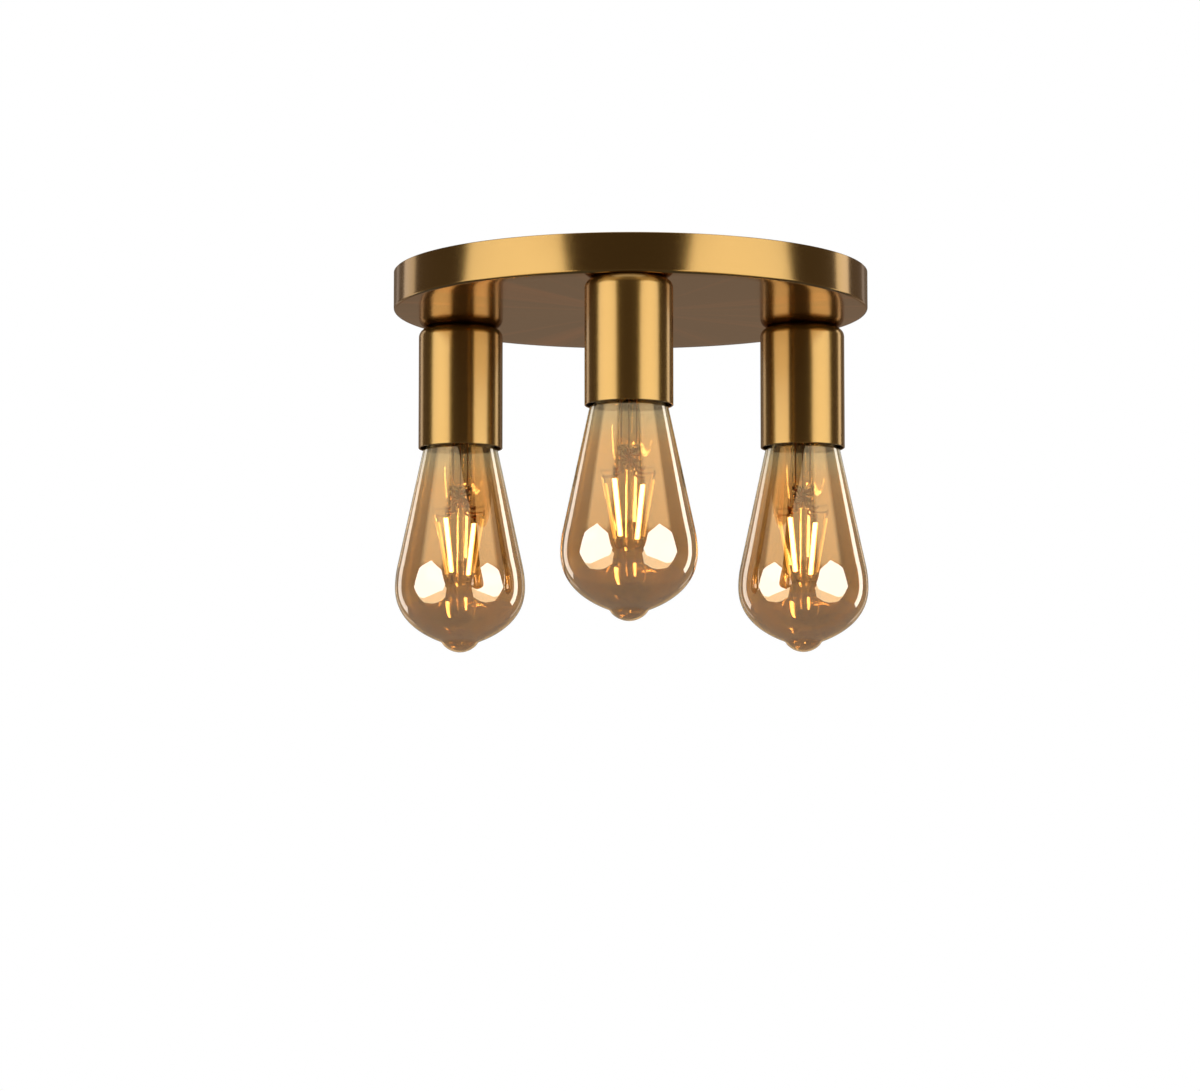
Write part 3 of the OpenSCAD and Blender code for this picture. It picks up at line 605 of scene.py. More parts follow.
# %% [markdown]
# ## The cups
# Each cup is drawn from thin brass sheet: a straight tube with a closed, rounded top,
# held to the pan by the threaded tube through its middle. Light runs along the rounded
# shoulder and along the lip, so both get enough points to stay smooth.

# %% Spin the cups
CUP_RADIUS = 20.75 * MM
CUP_HEIGHT = 60 * MM
CUP_SHEET = 0.8 * MM
SHOULDER = 4.8 * MM
LIP = 0.22 * MM

centre = (CUP_RADIUS - SHOULDER, -SHOULDER)
wall = CUP_RADIUS - CUP_SHEET
cup_outline = [(TUBE_HOLE, 0), (CUP_RADIUS - SHOULDER, 0)]
cup_outline += arc_points(centre, SHOULDER, 90, 0, 16)
cup_outline += [(CUP_RADIUS, -i * 6 * MM) for i in range(2, 10)]
cup_outline += [(CUP_RADIUS, LIP - CUP_HEIGHT), (CUP_RADIUS - LIP, -CUP_HEIGHT),
                (wall + LIP, -CUP_HEIGHT), (wall, LIP - CUP_HEIGHT), (wall, -SHOULDER)]
cup_outline += arc_points(centre, SHOULDER - CUP_SHEET, 0, 90, 12)
cup_outline += [(TUBE_HOLE, -CUP_SHEET)]
for holder in HOLDERS:
    place = axis_of(holder, UNDERSIDE)
    # The cups' brass is painted lighter than the pan's brass, as painted light.
    brass = brushed_brass(f"brushed_brass_{holder}", place, rough=0.26, along_lines=0.7,
                          coat=0.4, painted_lightness=0.89, streaks=0.006)
    finish_piece(f"{holder}_brass_cup", spun(cup_outline, 160), [brass], "fitting",
                 f"{holder}_cup", place)

# %% [markdown]
# ## The bulb's glass
# The envelope is blown from a tube: a straight neck inside the cap, a long cone, a round
# belly and a small drawn tip. A thin metal oxide coat makes it amber, strongest towards
# the tip and clear at the neck, and also makes it mirror-like. So the glass gets a high
# refractive index, and a colour that changes with height. The wall has a real
# thickness, because light has to enter and leave it.

# %% Glass outline
BULB_LENGTH = 140 * MM
BELLY = 32 * MM
WIDEST = 108.1 * MM
BELLY_CURVE = 50 * MM
SLOPE = math.radians(12.2)
NECK = 12.2 * MM
CAP_LENGTH = 27 * MM
GLASS = 0.8 * MM
TIP = 11 * MM
TIP_TURN = math.radians(45)
ROOT_TURN = math.radians(21)
AMBER_STEPS = ((0.26, (0.47, 0.43, 0.34)), (0.33, (0.60, 0.50, 0.33)),
               (0.42, (0.65, 0.45, 0.24)), (0.70, (0.55, 0.35, 0.16)),
               (0.95, (0.48, 0.28, 0.10)))

cone_radius = BELLY - BELLY_CURVE * (1 - math.cos(SLOPE))
cone_level = WIDEST - BELLY_CURVE * math.sin(SLOPE)
cone_top = CAP_LENGTH + 10 * MM
cone_top_radius = cone_radius - (cone_level - cone_top) * math.tan(SLOPE)
along = Vector((math.sin(SLOPE), math.cos(SLOPE)))
root = Vector((9.9 * MM, BULB_LENGTH - 5.4 * MM))
root_way = Vector((-math.cos(ROOT_TURN), math.sin(ROOT_TURN)))
tip_edge = Vector((TIP * math.sin(TIP_TURN), BULB_LENGTH - TIP * (1 - math.cos(TIP_TURN))))
tip_way = Vector((-math.cos(TIP_TURN), math.sin(TIP_TURN)))
top = Vector((cone_top_radius, cone_top))

slim_neck = NECK - 0.4 * MM
glass_outline = [(slim_neck, CAP_LENGTH - 9 * MM), (slim_neck, CAP_LENGTH - 5 * MM),
                 (NECK, CAP_LENGTH - 2.5 * MM), (NECK, CAP_LENGTH - 0.5 * MM)]
glass_outline += bezier_points([(NECK, CAP_LENGTH - 0.5 * MM), (NECK, CAP_LENGTH + 4 * MM),
                                top - 4 * MM * along, top], 12)
glass_outline += [tuple(top.lerp(Vector((cone_radius, cone_level)), i / 10))
                  for i in range(1, 11)]
glass_outline += [(BELLY - BELLY_CURVE * (1 - math.cos(t)), WIDEST - BELLY_CURVE * math.sin(t))
                  for t in (SLOPE * (1 - i / 8) for i in range(1, 9))]
glass_outline += bezier_points([(BELLY, WIDEST), (BELLY, WIDEST + 13.7 * MM),
                                root - 13 * MM * root_way, root], 28)
glass_outline += bezier_points([root, root + 1.4 * MM * root_way,
                                tip_edge - 1.4 * MM * tip_way, tip_edge], 8)
glass_outline += [(TIP * math.cos(t), BULB_LENGTH - TIP + TIP * math.sin(t))
                  for t in (math.pi / 2 - TIP_TURN * (1 - i / 9) for i in range(1, 10))]
print("glass outline", len(glass_outline), "points, cone top radius",
      round(cone_top_radius / MM, 2), "mm")


# %% Glass wall
def wall_inside(outline, thickness):
    """The same outline, moved inwards by the wall's thickness."""
    moved = []
    for i, point in enumerate(outline):
        before = Vector(outline[max(i - 1, 0)])
        after = Vector(outline[i + 1]) if i + 1 < len(outline) else Vector(
            (-outline[i - 1][0], outline[i - 1][1]))
        way = (after - before).normalized()
        moved.append((max(point[0] - thickness * way.y, 0), point[1] + thickness * way.x))
    return moved


def hang(points):
    """Turns levels below the end contact into heights."""
    return [(radius, -level) for radius, level in points]


def colour_steps(tree, share, steps):
    """A colour that changes through the given steps."""
    ramp = tree.nodes.new("ShaderNodeValToRGB")
    while len(ramp.color_ramp.elements) < len(steps):
        ramp.color_ramp.elements.new(0.5)
    for element, (place, colour) in zip(ramp.color_ramp.elements, steps):
        element.position = place
        element.color = (*colour, 1)
    feed(tree, ramp.inputs[0], share)
    return ramp.outputs[0]


def amber_glass():
    """Clear at the neck, amber towards the tip, with a mirror-like coat."""
    material, tree, shader = new_material("amber_glass")
    level = calculate(tree, "SUBTRACT", CONTACT, parts_of(tree, own_place(tree))["Z"])
    drift = noise(tree, 45.0)
    share = calculate(tree, "ADD", calculate(tree, "MULTIPLY", level, 1 / BULB_LENGTH),
                      spread(tree, drift, 0.3, 0.7, -0.012, 0.012))
    feed_all(tree, shader, Base_Color=colour_steps(tree, share, AMBER_STEPS),
             Roughness=spread(tree, drift, 0.3, 0.7, 0.0, 0.02), Transmission_Weight=1.0,
             IOR=2.3, Specular_Tint=(1.0, 0.93, 0.82),
             Coat_Weight=spread(tree, share, 0.28, 0.55, 0.15, 0.9), Coat_Roughness=0.0,
             Coat_IOR=2.5)
    return material


amber = amber_glass()
glass_wall = hang(glass_outline)[::-1] + hang(wall_inside(glass_outline, GLASS))
for holder in HOLDERS:
    finish_in_bulb(holder, "glass_envelope", spun(glass_wall, 144, closed=False), [amber],
                   "glass")

# %% [markdown]
# ## The glass stem
# Inside the neck a glass tube flares out to meet the envelope. Its far end is heated and
# pressed flat round the lead wires, and a glass rod with a button carries the filaments.
# We spin tube and rod, then flatten the end with a scale that grows along the press.

# %% Stem
STEM = 5.5 * MM
STEM_INSIDE = 4.5 * MM
NECK_INSIDE = NECK - GLASS - 0.1 * MM
FLARE_TOP = CAP_LENGTH - 8 * MM
FLARE_END = FLARE_TOP + 12 * MM
PRESS_START = 61 * MM
PRESS_END = 69 * MM
PRESS_HALF = 2.2 * MM
BUTTON_LEVEL = 105 * MM
BUTTON = 2.8 * MM
ROD = 1.7 * MM


def clear_glass():
    """Drawn soda glass with faint lines along the draw."""
    material, tree, shader = new_material("clear_glass")
    stretched = node(tree, "ShaderNodeMapping", Vector=own_place(tree), Scale=(600, 600, 25))
    draw = noise(tree, 1.0, place=stretched.outputs[0])
    feed_all(tree, shader, Roughness=0.01, Transmission_Weight=1.0, IOR=1.35,
             Base_Color=blend_colours(tree, draw, (0.97, 0.90, 0.79), (1.0, 0.95, 0.87)),
             Normal=bump(tree, draw, 0.05, 0.05 * MM))
    return material


def ease(value):
    """Runs smoothly from nought to one."""
    value = min(max(value, 0), 1)
    return value * value * (3 - 2 * value)


def press_flat(shape):
    """Flattens the end of the tube across the press."""
    for vertex in shape.verts:
        level = -vertex.co.z
        share = ease((level - PRESS_START + 4 * MM) / (5 * MM))
        share *= 1 - ease((level - PRESS_END) / (1 * MM))
        vertex.co.y *= 1 - share * (1 - PRESS_HALF / STEM)


tube = [(NECK_INSIDE, FLARE_TOP), (NECK_INSIDE, FLARE_TOP + 1 * MM)]
tube += bezier_points([tube[-1], (STEM + 2 * MM, FLARE_TOP + 2 * MM),
                       (STEM, FLARE_TOP + 6 * MM), (STEM, FLARE_END)], 12)
tube += [(STEM, level * MM)
         for level in (38, 48, 54, 56, 57, 58, 59, 60, 61, 62, 64, 66, 67.5)]
tube += arc_points((STEM - 1 * MM, PRESS_END - 1 * MM), 1 * MM, 0, 80, 5)
tube += [(ROD + 0.8 * MM, PRESS_END), (ROD, PRESS_END + 1 * MM), (ROD, 86 * MM)]
tube += [(ROD, BUTTON_LEVEL - 4 * MM), (2.1 * MM, BUTTON_LEVEL - 2.6 * MM)]
tube += arc_points((0, BUTTON_LEVEL), BUTTON, -40, 90, 10)
hollow = bezier_points([(NECK_INSIDE, FLARE_TOP), (STEM + 1 * MM, FLARE_TOP),
                        (STEM_INSIDE, FLARE_TOP + 6 * MM), (STEM_INSIDE, FLARE_END)], 12)
hollow += [(STEM_INSIDE, level * MM) for level in (38, 48, 53)]
hollow += bezier_points([(STEM_INSIDE, 55 * MM), (STEM_INSIDE, 59 * MM),
                         (1.5 * MM, 58.5 * MM), (0, 58.5 * MM)], 8)
clear = clear_glass()
for holder in HOLDERS:
    shape = spun(hang(tube[::-1] + hollow), 72, closed=False)
    press_flat(shape)
    finish_in_bulb(holder, "glass_stem", shape, [clear], "stem", sharp=50)

# %% [markdown]
# ## Wires inside the bulb
# Two leads run through the stem, and thin spider wires hold the filaments' ends, bent by
# hand and never quite alike. A wire is a small circle pushed along a route, so one
# helper extrudes the circle from point to point and turns it with the route. Corners are
# cut off first, because a real wire has no kinks.


# %% Wire helpers
def soften_route(points):
    """Cuts the corners off a route twice and keeps its ends."""
    points = [Vector(p) for p in points]
    for _ in range(2):
        cut = [points[0]]
        for a, b in zip(points, points[1:]):
            cut += [a.lerp(b, 0.25), a.lerp(b, 0.75)]
        points = cut + [points[-1]]
    return points


def push_wire(shape, points, radius, sides=8, flat=None, stripe=None):
    """Pushes a circle, or a flat strip's section, along a route and closes both ends."""
    points = [Vector(p) for p in points]
    last = len(points) - 1
    ring = bmesh.ops.create_circle(shape, cap_ends=False, radius=radius,
                                   segments=sides)["verts"]
    if flat:
        bmesh.ops.rotate(shape, matrix=Matrix.Rotation(math.pi / 4, 3, "Z"), verts=ring)
        bmesh.ops.scale(shape, vec=(flat[0], flat[1], 1), verts=ring)
    if stripe:
        for vertex in ring[:sides // 3]:
            vertex[stripe] = 1
    heading = (points[1] - points[0]).normalized()
    bmesh.ops.transform(shape, matrix=stand_along(points[0], heading), verts=ring)
    edges = list({e for v in ring for e in v.link_edges})
    ends = [edges]
    for i in range(1, last + 1):
        pushed = bmesh.ops.extrude_edge_only(shape, edges=edges)["geom"]
        ring = [g for g in pushed if isinstance(g, bmesh.types.BMVert)]
        here = set(ring)
        edges = [g for g in pushed if isinstance(g, bmesh.types.BMEdge)
                 and g.verts[0] in here and g.verts[1] in here]
        ahead = (points[min(i + 1, last)] - points[i - 1]).normalized()
        swing = heading.rotation_difference(ahead).to_matrix().to_4x4()
        step = Matrix.Translation(points[i]) @ swing @ Matrix.Translation(-points[i - 1])
        bmesh.ops.transform(shape, matrix=step, verts=ring)
        heading = ahead
    ends.append(edges)
    for rim in ends:
        bmesh.ops.edgeloop_fill(shape, edges=rim)


# %% Support wires
LEAD_PLACE = 3.6 * MM
LEAD_WIRE = 0.3 * MM
CAGE_TURN = 60
FILAMENT_TOP = (13.2 * MM, 73.5 * MM)
FILAMENT_FOOT = (7.4 * MM, 102.5 * MM)
FILAMENT_ANGLES = [CAGE_TURN + 90 * k for k in range(4)]
# Each spike's angle in degrees, its reach and its start in millimetres.
HUB_SPIKES = ((28, 5.4, 0.8), (62, 5.0, 0.4), (86, 3.6, 1.0), (118, 5.0, 0.5),
              (152, 5.6, 0.9), (196, 4.6, 1.2), (232, 5.2, 0.6), (262, 4.8, 1.4),
              (304, 5.4, 0.7), (341, 4.8, 1.0))


def bulb_point(radius, degrees, level):
    """A point in a bulb, by radius, angle and level below the end contact."""
    turn = math.radians(degrees)
    return Vector((radius * math.cos(turn), radius * math.sin(turn), -level))


def bulb_points(degrees, start, *places):
    """Points at one angle, by radius and level below a start, in millimetres."""
    return [bulb_point(radius * MM, degrees, start + level * MM) for radius, level in places]


def drawn_wire():
    """Nickel iron wire, brown from the glass worker's flame."""
    material, tree, shader = new_material("support_wire")
    stain = noise(tree, 700.0, 3.0)
    brown = blend_colours(tree, spread(tree, stain, 0.35, 0.65, 0, 1), (0.08, 0.012, 0.003),
                          (0.58, 0.13, 0.02))
    feed_all(tree, shader, Base_Color=brown, Metallic=0.1,
             Roughness=spread(tree, stain, 0.3, 0.7, 0.25, 0.5),
             Normal=bump(tree, stain, 0.15, 0.03 * MM))
    return material


def push_filament_wires(shape, degrees):
    """The arm, post, spoke and whisker that belong to one filament."""
    x = math.copysign(1, math.cos(math.radians(degrees)))
    y = math.copysign(1, math.sin(math.radians(degrees)))
    root = Vector((x * 3.2 * MM, y * (PRESS_HALF - 0.6 * MM), -PRESS_END - 0.5 * MM))
    arm = [root] + bulb_points(degrees, PRESS_END, (4.4, 1.5), (7, 2.9), (14.3, 2.8))
    post = bulb_points(degrees, PRESS_END, (13.9, 1.6), (13.8, 3.2))
    post += bulb_points(degrees, FILAMENT_TOP[1], (13.25, 0.2))
    spoke = bulb_points(degrees, BUTTON_LEVEL, (2.9, 0), (5.1, 0.8), (7.3, 0))
    spoke += bulb_points(degrees, FILAMENT_FOOT[1], (7.4, 0.3))
    whisker = [Vector((x * out, y * aside, rise - PRESS_END / MM)) * MM
               for out, aside, rise in ((4.6, 1.8, 0.8), (6.2, 2.6, -0.6), (7.6, 2.2, 0.9))]
    for route, radius in ((arm, 0.58), (post, 0.5), (spoke, 0.28), (whisker, 0.38)):
        push_wire(shape, soften_route(route), radius * MM)


def push_hub_spike(shape, face, degrees, reach, start):
    """One bent wire end that sticks out of the tangle on a face of the press."""
    turn = math.radians(degrees + 9 * face)
    way = Vector((math.cos(turn), 0, math.sin(turn)))
    across = Vector((-way.z, 0, way.x))
    hub = Vector((0, face * (PRESS_HALF + 0.1 * MM), -PRESS_START - 2.6 * MM))
    route = [hub - way * start * MM, hub + (way * 0.35 + across * 0.12) * reach * MM,
             hub + (way * 0.75 - across * 0.2) * reach * MM + Vector((0, face * MM, 0)),
             hub + way * reach * MM + Vector((0, face * start * MM, 0))]
    push_wire(shape, soften_route(route), 0.42 * MM)


wire_metal = drawn_wire()
for holder in HOLDERS:
    shape = bmesh.new()
    for side in (-1, 0, 1):
        x = side * LEAD_PLACE
        end = PRESS_END + (1.2 * MM if side else -0.8 * MM)
        push_wire(shape, [(x, 0, -11 * MM), (x, 0, -30 * MM), (x, 0, -end)], LEAD_WIRE)
    for degrees in FILAMENT_ANGLES:
        push_filament_wires(shape, degrees)
    for face in (-1, 1):
        for spike in HUB_SPIKES:
            push_hub_spike(shape, face, *spike)
    finish_in_bulb(holder, "spider_wires", shape, [wire_metal], "wires")

# %% [markdown]
# ## The filaments
# Each filament is a thin strip of light-emitting chips in a warm silicone coat, with a
# metal tab at each end, and it is lit in the picture. We spin a rod with rounded ends,
# flatten it so that its broad side faces out, and lean it into place. Each vertex keeps
# how far it lies from the strip's edges, because the chips glow brightest along its middle.

# %% Filaments
FILAMENT = 0.85 * MM
FLATTENED = (2.1, 0.45, 1)
END_ROUND = 0.35 * MM
TAB = 0.42 * MM
TAB_LENGTH = 1.4 * MM
GLOWS = (1, 0.36, 1, 0.36)


def glowing_coat():
    """Warm silicone over lit chips."""
    material, tree, shader = new_material("filament_coat")
    chips = node(tree, "ShaderNodeTexWave", {"bands_direction": "Z"}, Scale=260.0,
                 Distortion=0.0, Vector=own_place(tree)).outputs["Fac"]
    grain = noise(tree, 900.0)
    middle = node(tree, "ShaderNodeAttribute", {"attribute_name": "middle"}).outputs["Fac"]
    glow = calculate(tree, "MULTIPLY", spread(tree, chips, 0, 1, 0.85, 1.1),
                     spread(tree, middle, 0.3, 0.95, 1.2, 34))
    feed_all(tree, shader, Emission_Strength=glow, Roughness=0.4,
             Base_Color=blend_colours(tree, grain, (0.90, 0.62, 0.16), (0.98, 0.74, 0.26)),
             Emission_Color=blend_colours(tree, middle, (1.0, 0.52, 0.14), (1.0, 0.82, 0.46)),
             Normal=bump(tree, grain, 0.2, 0.04 * MM))
    return material


def tab_metal():
    """The punched end tabs of a filament."""
    material, tree, shader = new_material("filament_tab")
    rub = noise(tree, 1500.0)
    feed_all(tree, shader, Metallic=1.0, Roughness=spread(tree, rub, 0.3, 0.7, 0.25, 0.45),
             Base_Color=blend_colours(tree, rub, (0.45, 0.40, 0.30), (0.62, 0.56, 0.44)))
    return material


def lean_filament(shape, middle, degrees, glow):
    """Spins one filament, flattens it and leans it between its two wires."""
    head = bulb_point(FILAMENT_TOP[0], degrees, FILAMENT_TOP[1])
    foot = bulb_point(FILAMENT_FOOT[0], degrees, FILAMENT_FOOT[1])
    length = (foot - head).length
    half = [(0, 0), (TAB, 0), (TAB, TAB_LENGTH)]
    half += arc_points((FILAMENT - END_ROUND, TAB_LENGTH + END_ROUND), END_ROUND, -90, 0, 4)
    outline = half + [(FILAMENT, length / 2)]
    outline += [(radius, length - level) for radius, level in half[::-1]]
    before = set(shape.faces)
    vertices = spin_outline(shape, outline, steps=20, closed=False)
    for face in set(shape.faces) - before:
        level = face.calc_center_median().z
        face.material_index = int(level < TAB_LENGTH or level > length - TAB_LENGTH)
    for vertex in vertices:
        x, y, _ = vertex.co
        vertex[middle] = y * y / max(x * x + y * y, 1e-12) * glow
    bmesh.ops.scale(shape, vec=FLATTENED, verts=vertices)
    bmesh.ops.transform(shape, matrix=stand_along(head, foot - head), verts=vertices)


coat = glowing_coat()
tab = tab_metal()
for holder in HOLDERS:
    shape = bmesh.new()
    middle = shape.verts.layers.float.new("middle")
    for degrees, glow in zip(FILAMENT_ANGLES, GLOWS):
        lean_filament(shape, middle, degrees, glow)
    finish_in_bulb(holder, "lit_filaments", shape, [coat, tab], "filaments")

# %% [markdown]
# ## Finishes of the hidden pieces
# Seen from above, from below or with a bulb out, the fitting shows its works: zinc plated
# steel, yellow passivated threads, plain brass, glazed porcelain, nylon and wire covers.
# All share one recipe of fine grain over broad stains. Metals shine unevenly. Porcelain,
# nylon and covers get a clear coat, strong where the real one is glazed.


# %% Metal and moulded finishes
def two_grains(tree, fineness, share):
    """Fine grain over broad stains, as one value."""
    grains = [calculate(tree, "MULTIPLY", noise(tree, scale, 4.0, 0.6), weight)
              for scale, weight in ((fineness, share), (fineness / 14, 1 - share))]
    return calculate(tree, "ADD", *grains)


def mottled(name, dark, light, grains, rough, relief, **shine):
    """A surface whose colour, roughness and relief follow two grains."""
    material, tree, shader = new_material(name)
    tone = two_grains(tree, *grains)
    colour = blend_colours(tree, spread(tree, tone, 0.38, 0.62, 0, 1), dark, light)
    feed_all(tree, shader, Base_Color=colour, Normal=bump(tree, tone, *relief),
             Roughness=spread(tree, tone, 0.35, 0.65, *rough), **shine)
    return material


def plain_metal(name, dark, light, rough, fineness=1400):
    """A metal surface with grain, stains and uneven shine."""
    return mottled(name, dark, light, (fineness, 0.4), (rough + 0.08, rough - 0.06),
                   (0.15, 0.03 * MM), Metallic=1.0)


def moulded(name, dark, light, rough, coat, fineness=500):
    """Fired clay or plastic: even colour, a little mottled, with or without a glaze."""
    return mottled(name, dark, light, (fineness, 0.3), (rough - 0.05, rough + 0.05),
                   (0.12, 0.08 * MM), Coat_Weight=coat, Coat_Roughness=0.06)


zinc = plain_metal("zinc_steel", (0.44, 0.45, 0.45), (0.56, 0.56, 0.55), 0.42)
yellow_zinc = plain_metal("yellow_zinc", (0.60, 0.44, 0.17), (0.76, 0.62, 0.34), 0.30)
plain_brass = plain_metal("plain_brass", (0.62, 0.42, 0.16), (0.82, 0.62, 0.30), 0.26)
nickel = plain_metal("nickel_cap", (0.50, 0.46, 0.40), (0.70, 0.66, 0.60), 0.28)
tin = plain_metal("tin_solder", (0.42, 0.42, 0.42), (0.62, 0.62, 0.61), 0.36, 900)
porcelain = moulded("porcelain", (0.80, 0.77, 0.70), (0.87, 0.85, 0.80), 0.35, 0.8)
nylon = moulded("white_nylon", (0.76, 0.75, 0.70), (0.83, 0.82, 0.78), 0.5, 0.1, 900)
black_glass = moulded("black_glass", (0.012, 0.012, 0.013), (0.03, 0.03, 0.032), 0.12, 0.6)
brown_cover = moulded("brown_wire", (0.12, 0.045, 0.016), (0.19, 0.075, 0.03), 0.42, 0.15)
blue_cover = moulded("blue_wire", (0.012, 0.09, 0.34), (0.03, 0.15, 0.48), 0.42, 0.15)
print("finishes", len(bpy.data.materials))

# %% [markdown]
# ## Softening a measured piece
# Screws, nuts, the pressed strap and the terminal block already have their true sizes in
# the measured model, but with knife-sharp edges. We copy such a mesh, merge its loose
# triangles, dissolve the flat ones into whole faces, and bevel what is sharp.

# %% Softened copies
LOOSE = 2e-6
FLAT_WITHIN = math.radians(0.5)
KNIFE_EDGE = 40
SOFT_CREASE = 20


def softened_copy(name, source, width, material):
    """A copy of a measured piece with its edges rounded."""
    shape = bmesh.new()
    shape.from_mesh(NODES[source].data)
    bmesh.ops.remove_doubles(shape, verts=shape.verts, dist=LOOSE)
    bmesh.ops.dissolve_limit(shape, angle_limit=FLAT_WITHIN, verts=shape.verts,
                             edges=shape.edges)
    round_edges(shape, width * MM, KNIFE_EDGE)
    finish_piece(name, shape, [material], "fitting", source, sharp=SOFT_CREASE)


for name, source, width, material, slot in (
        ("pressed_strap", "mounting_bracket", 0.3, zinc, "zinc_steel"),
        ("square_nuts", "lug_nuts", 0.3, zinc, "zinc_steel"),
        ("grub_screws", "rim_screws", 0.12, pan_brass, "antique_brass"),
        ("porcelain_screws", "long_screws", 0.12, zinc, "zinc_steel"),
        ("terminal_strip", "terminal_block", 0.3, nylon, "white_nylon"),
        ("pole_tubes", "terminal_tubes", 0.12, plain_brass, "plain_brass"),
        ("pole_screws", "clamp_screws", 0.1, zinc, "zinc_steel"),
        ("strip_screws", "block_screws", 0.1, zinc, "zinc_steel"),
        ("earth_screw_and_head", "earth_screw", 0.25, zinc, "zinc_steel")):
    softened_copy(name, source, width, material)
for holder in HOLDERS:
    softened_copy(f"{holder}_contact_disc", f"{holder}_contact_block", 0.25, porcelain)

# %% [markdown]
# ## Rolled threads
# A bulb's cap and its screw shell are thin sheet with a round thread rolled into them, and
# the threaded tube has a fine sharp one. A thread is a wave along a helix, so we spin a
# plain wall with many rings and move each vertex in or out by where it lies on the helix.
# Cap and shell use the same helix, so the one sits in the other as a real bulb does.


# %% Thread helpers
def roll_thread(vertices, depth, pitch, top, bottom):
    """Moves the walls between two heights in and out along a right-handed helix."""
    for vertex in vertices:
        x, y, z = vertex.co
        if bottom < z < top:
            fade = ease((top - z) / pitch) * ease((z - bottom) / pitch)
            wave = math.cos(2 * math.pi * z / pitch - math.atan2(y, x))
            reach = 1 + depth / 2 * fade * wave / math.hypot(x, y)
            vertex.co.x, vertex.co.y = x * reach, y * reach


def wall_rings(radius, first, last, step):
    """Rings of a straight wall, from one height to the other."""
    count = max(round(abs(last - first) / step), 1)
    return [(radius, first + (last - first) * i / count) for i in range(count + 1)]


def holder_frame(holder):
    """A lampholder's own frame, with x along the circle of lampholders."""
    return (Matrix.Translation(axis_of(holder, UNDERSIDE))
            @ Matrix.Rotation(math.radians(HOLDERS[holder] + 90), 4, "Z"))


# %% Bulb caps, insulators and end contacts
CAP_PITCH = 3.63 * MM
CAP_THREAD = 0.85 * MM
CAP_MIDDLE = 12.675 * MM
CAP_SHEET = 0.3 * MM
CAP_STEP = 0.4 * MM
THREAD_TOP = -7.6 * MM
THREAD_FOOT = -22.6 * MM

outer = mm((12.1, -6.6), (12.45, -7.0)) + [(CAP_MIDDLE, THREAD_TOP)]
outer += wall_rings(CAP_MIDDLE, -8 * MM, THREAD_FOOT, CAP_STEP)
outer += mm((12.75, -23.2), (12.9, -23.7), (12.95, -24.4), (12.95, -26.6), (13.05, -27))
cap_wall = outer + [(radius - CAP_SHEET, height) for radius, height in outer[::-1]]
insulator = hang(mm((1.7, 1.3), (4.7, 1.3), (5.5, 1.9), (8.6, 3.7), (11.6, 6.4),
                    (11.6, 7.8), (9.6, 7.8), (4.2, 4.3), (1.7, 4.3)))
button = hang(mm((0, 0), (1.1, 0.02), (2.0, 0.1), (3.2, 0.16), (4.0, 0.32), (4.5, 0.7),
                 (4.7, 1.2), (1.5, 1.2), (1.5, 4.6), (0, 4.6)))
for holder in HOLDERS:
    shape = spun(cap_wall, 96)
    roll_thread(shape.verts, CAP_THREAD, CAP_PITCH, THREAD_TOP, THREAD_FOOT)
    finish_in_bulb(holder, "rolled_cap", shape, [nickel], "cap")
    shape = spun(insulator, 72)
    round_edges(shape, 0.2 * MM, 20)
    finish_in_bulb(holder, "black_insulator", shape, [black_glass], "insulator",
                   "contact_end")
    finish_in_bulb(holder, "tinned_contact", spun(button, 72, closed=False), [tin],
                   "end_contact", "contact_end")

# %% Screw shells and their strips
SHELL_MIDDLE = 13.025 * MM
SHELL_FOOT = -20.8 * MM
STRIP = (5 * MM, 0.6 * MM)

shell_top = mm((10, 0.6), (12.5, 0.6), (12.9, 0.3))
shell_wall = wall_rings(SHELL_MIDDLE, -0.4 * MM, SHELL_FOOT, CAP_STEP)
shell_wall += mm((13.2, -21.2), (13.5, -21.7), (13.5, -22.3))
shell_outline = mm((10, 1.0), (12.9, 1.0), (13.25, 0.6))
shell_outline += [(radius + CAP_SHEET, height) for radius, height in shell_wall]
shell_outline += (shell_top + shell_wall)[::-1]


def push_strip(shape, holder, *route):
    """Bends a brass strip along a route in its lampholder, in millimetres."""
    before = set(shape.verts)
    push_wire(shape, soften_route([Vector((x, 0, -depth)) * MM for x, depth in route]),
              math.sqrt(0.5), 4, flat=STRIP)
    bmesh.ops.transform(shape, matrix=holder_frame(holder),
                        verts=[v for v in shape.verts if v not in before])


for holder in HOLDERS:
    shape = spun(shell_outline, 96)
    roll_thread(shape.verts, CAP_THREAD, CAP_PITCH, -0.6 * MM, SHELL_FOOT)
    bmesh.ops.translate(shape, vec=axis_of(holder, CONTACT), verts=shape.verts)
    push_strip(shape, holder, (-0.5, 11.8), (-10.2, 11.8), (-11.2, 11.8), (-11.2, 12.8),
               (-11.2, 20.2))
    finish_piece(f"{holder}_brass_shell", shape, [plain_brass], "fitting",
                 f"{holder}_screw_shell")

    shape = bmesh.new()
    push_strip(shape, holder, (-2.5, 20.4), (6.8, 20.4), (7.8, 20.4), (7.8, 19.4),
               (7.8, 12.8), (7.8, 11.8), (6.8, 11.8), (0.5, 11.8))
    finish_piece(f"{holder}_brass_spring", shape, [plain_brass], "fitting",
                 f"{holder}_centre_contact")

# %% [markdown]
# ## Threaded tubes, nuts and washers
# The hollow tube clamps cup and lampholder to the pan and lets the wires through. Its nut
# is a six-sided prism whose corners are turned off by a cone, so we cut a prism with a
# spun ring. The washer's rim is notched to bite into the pan.

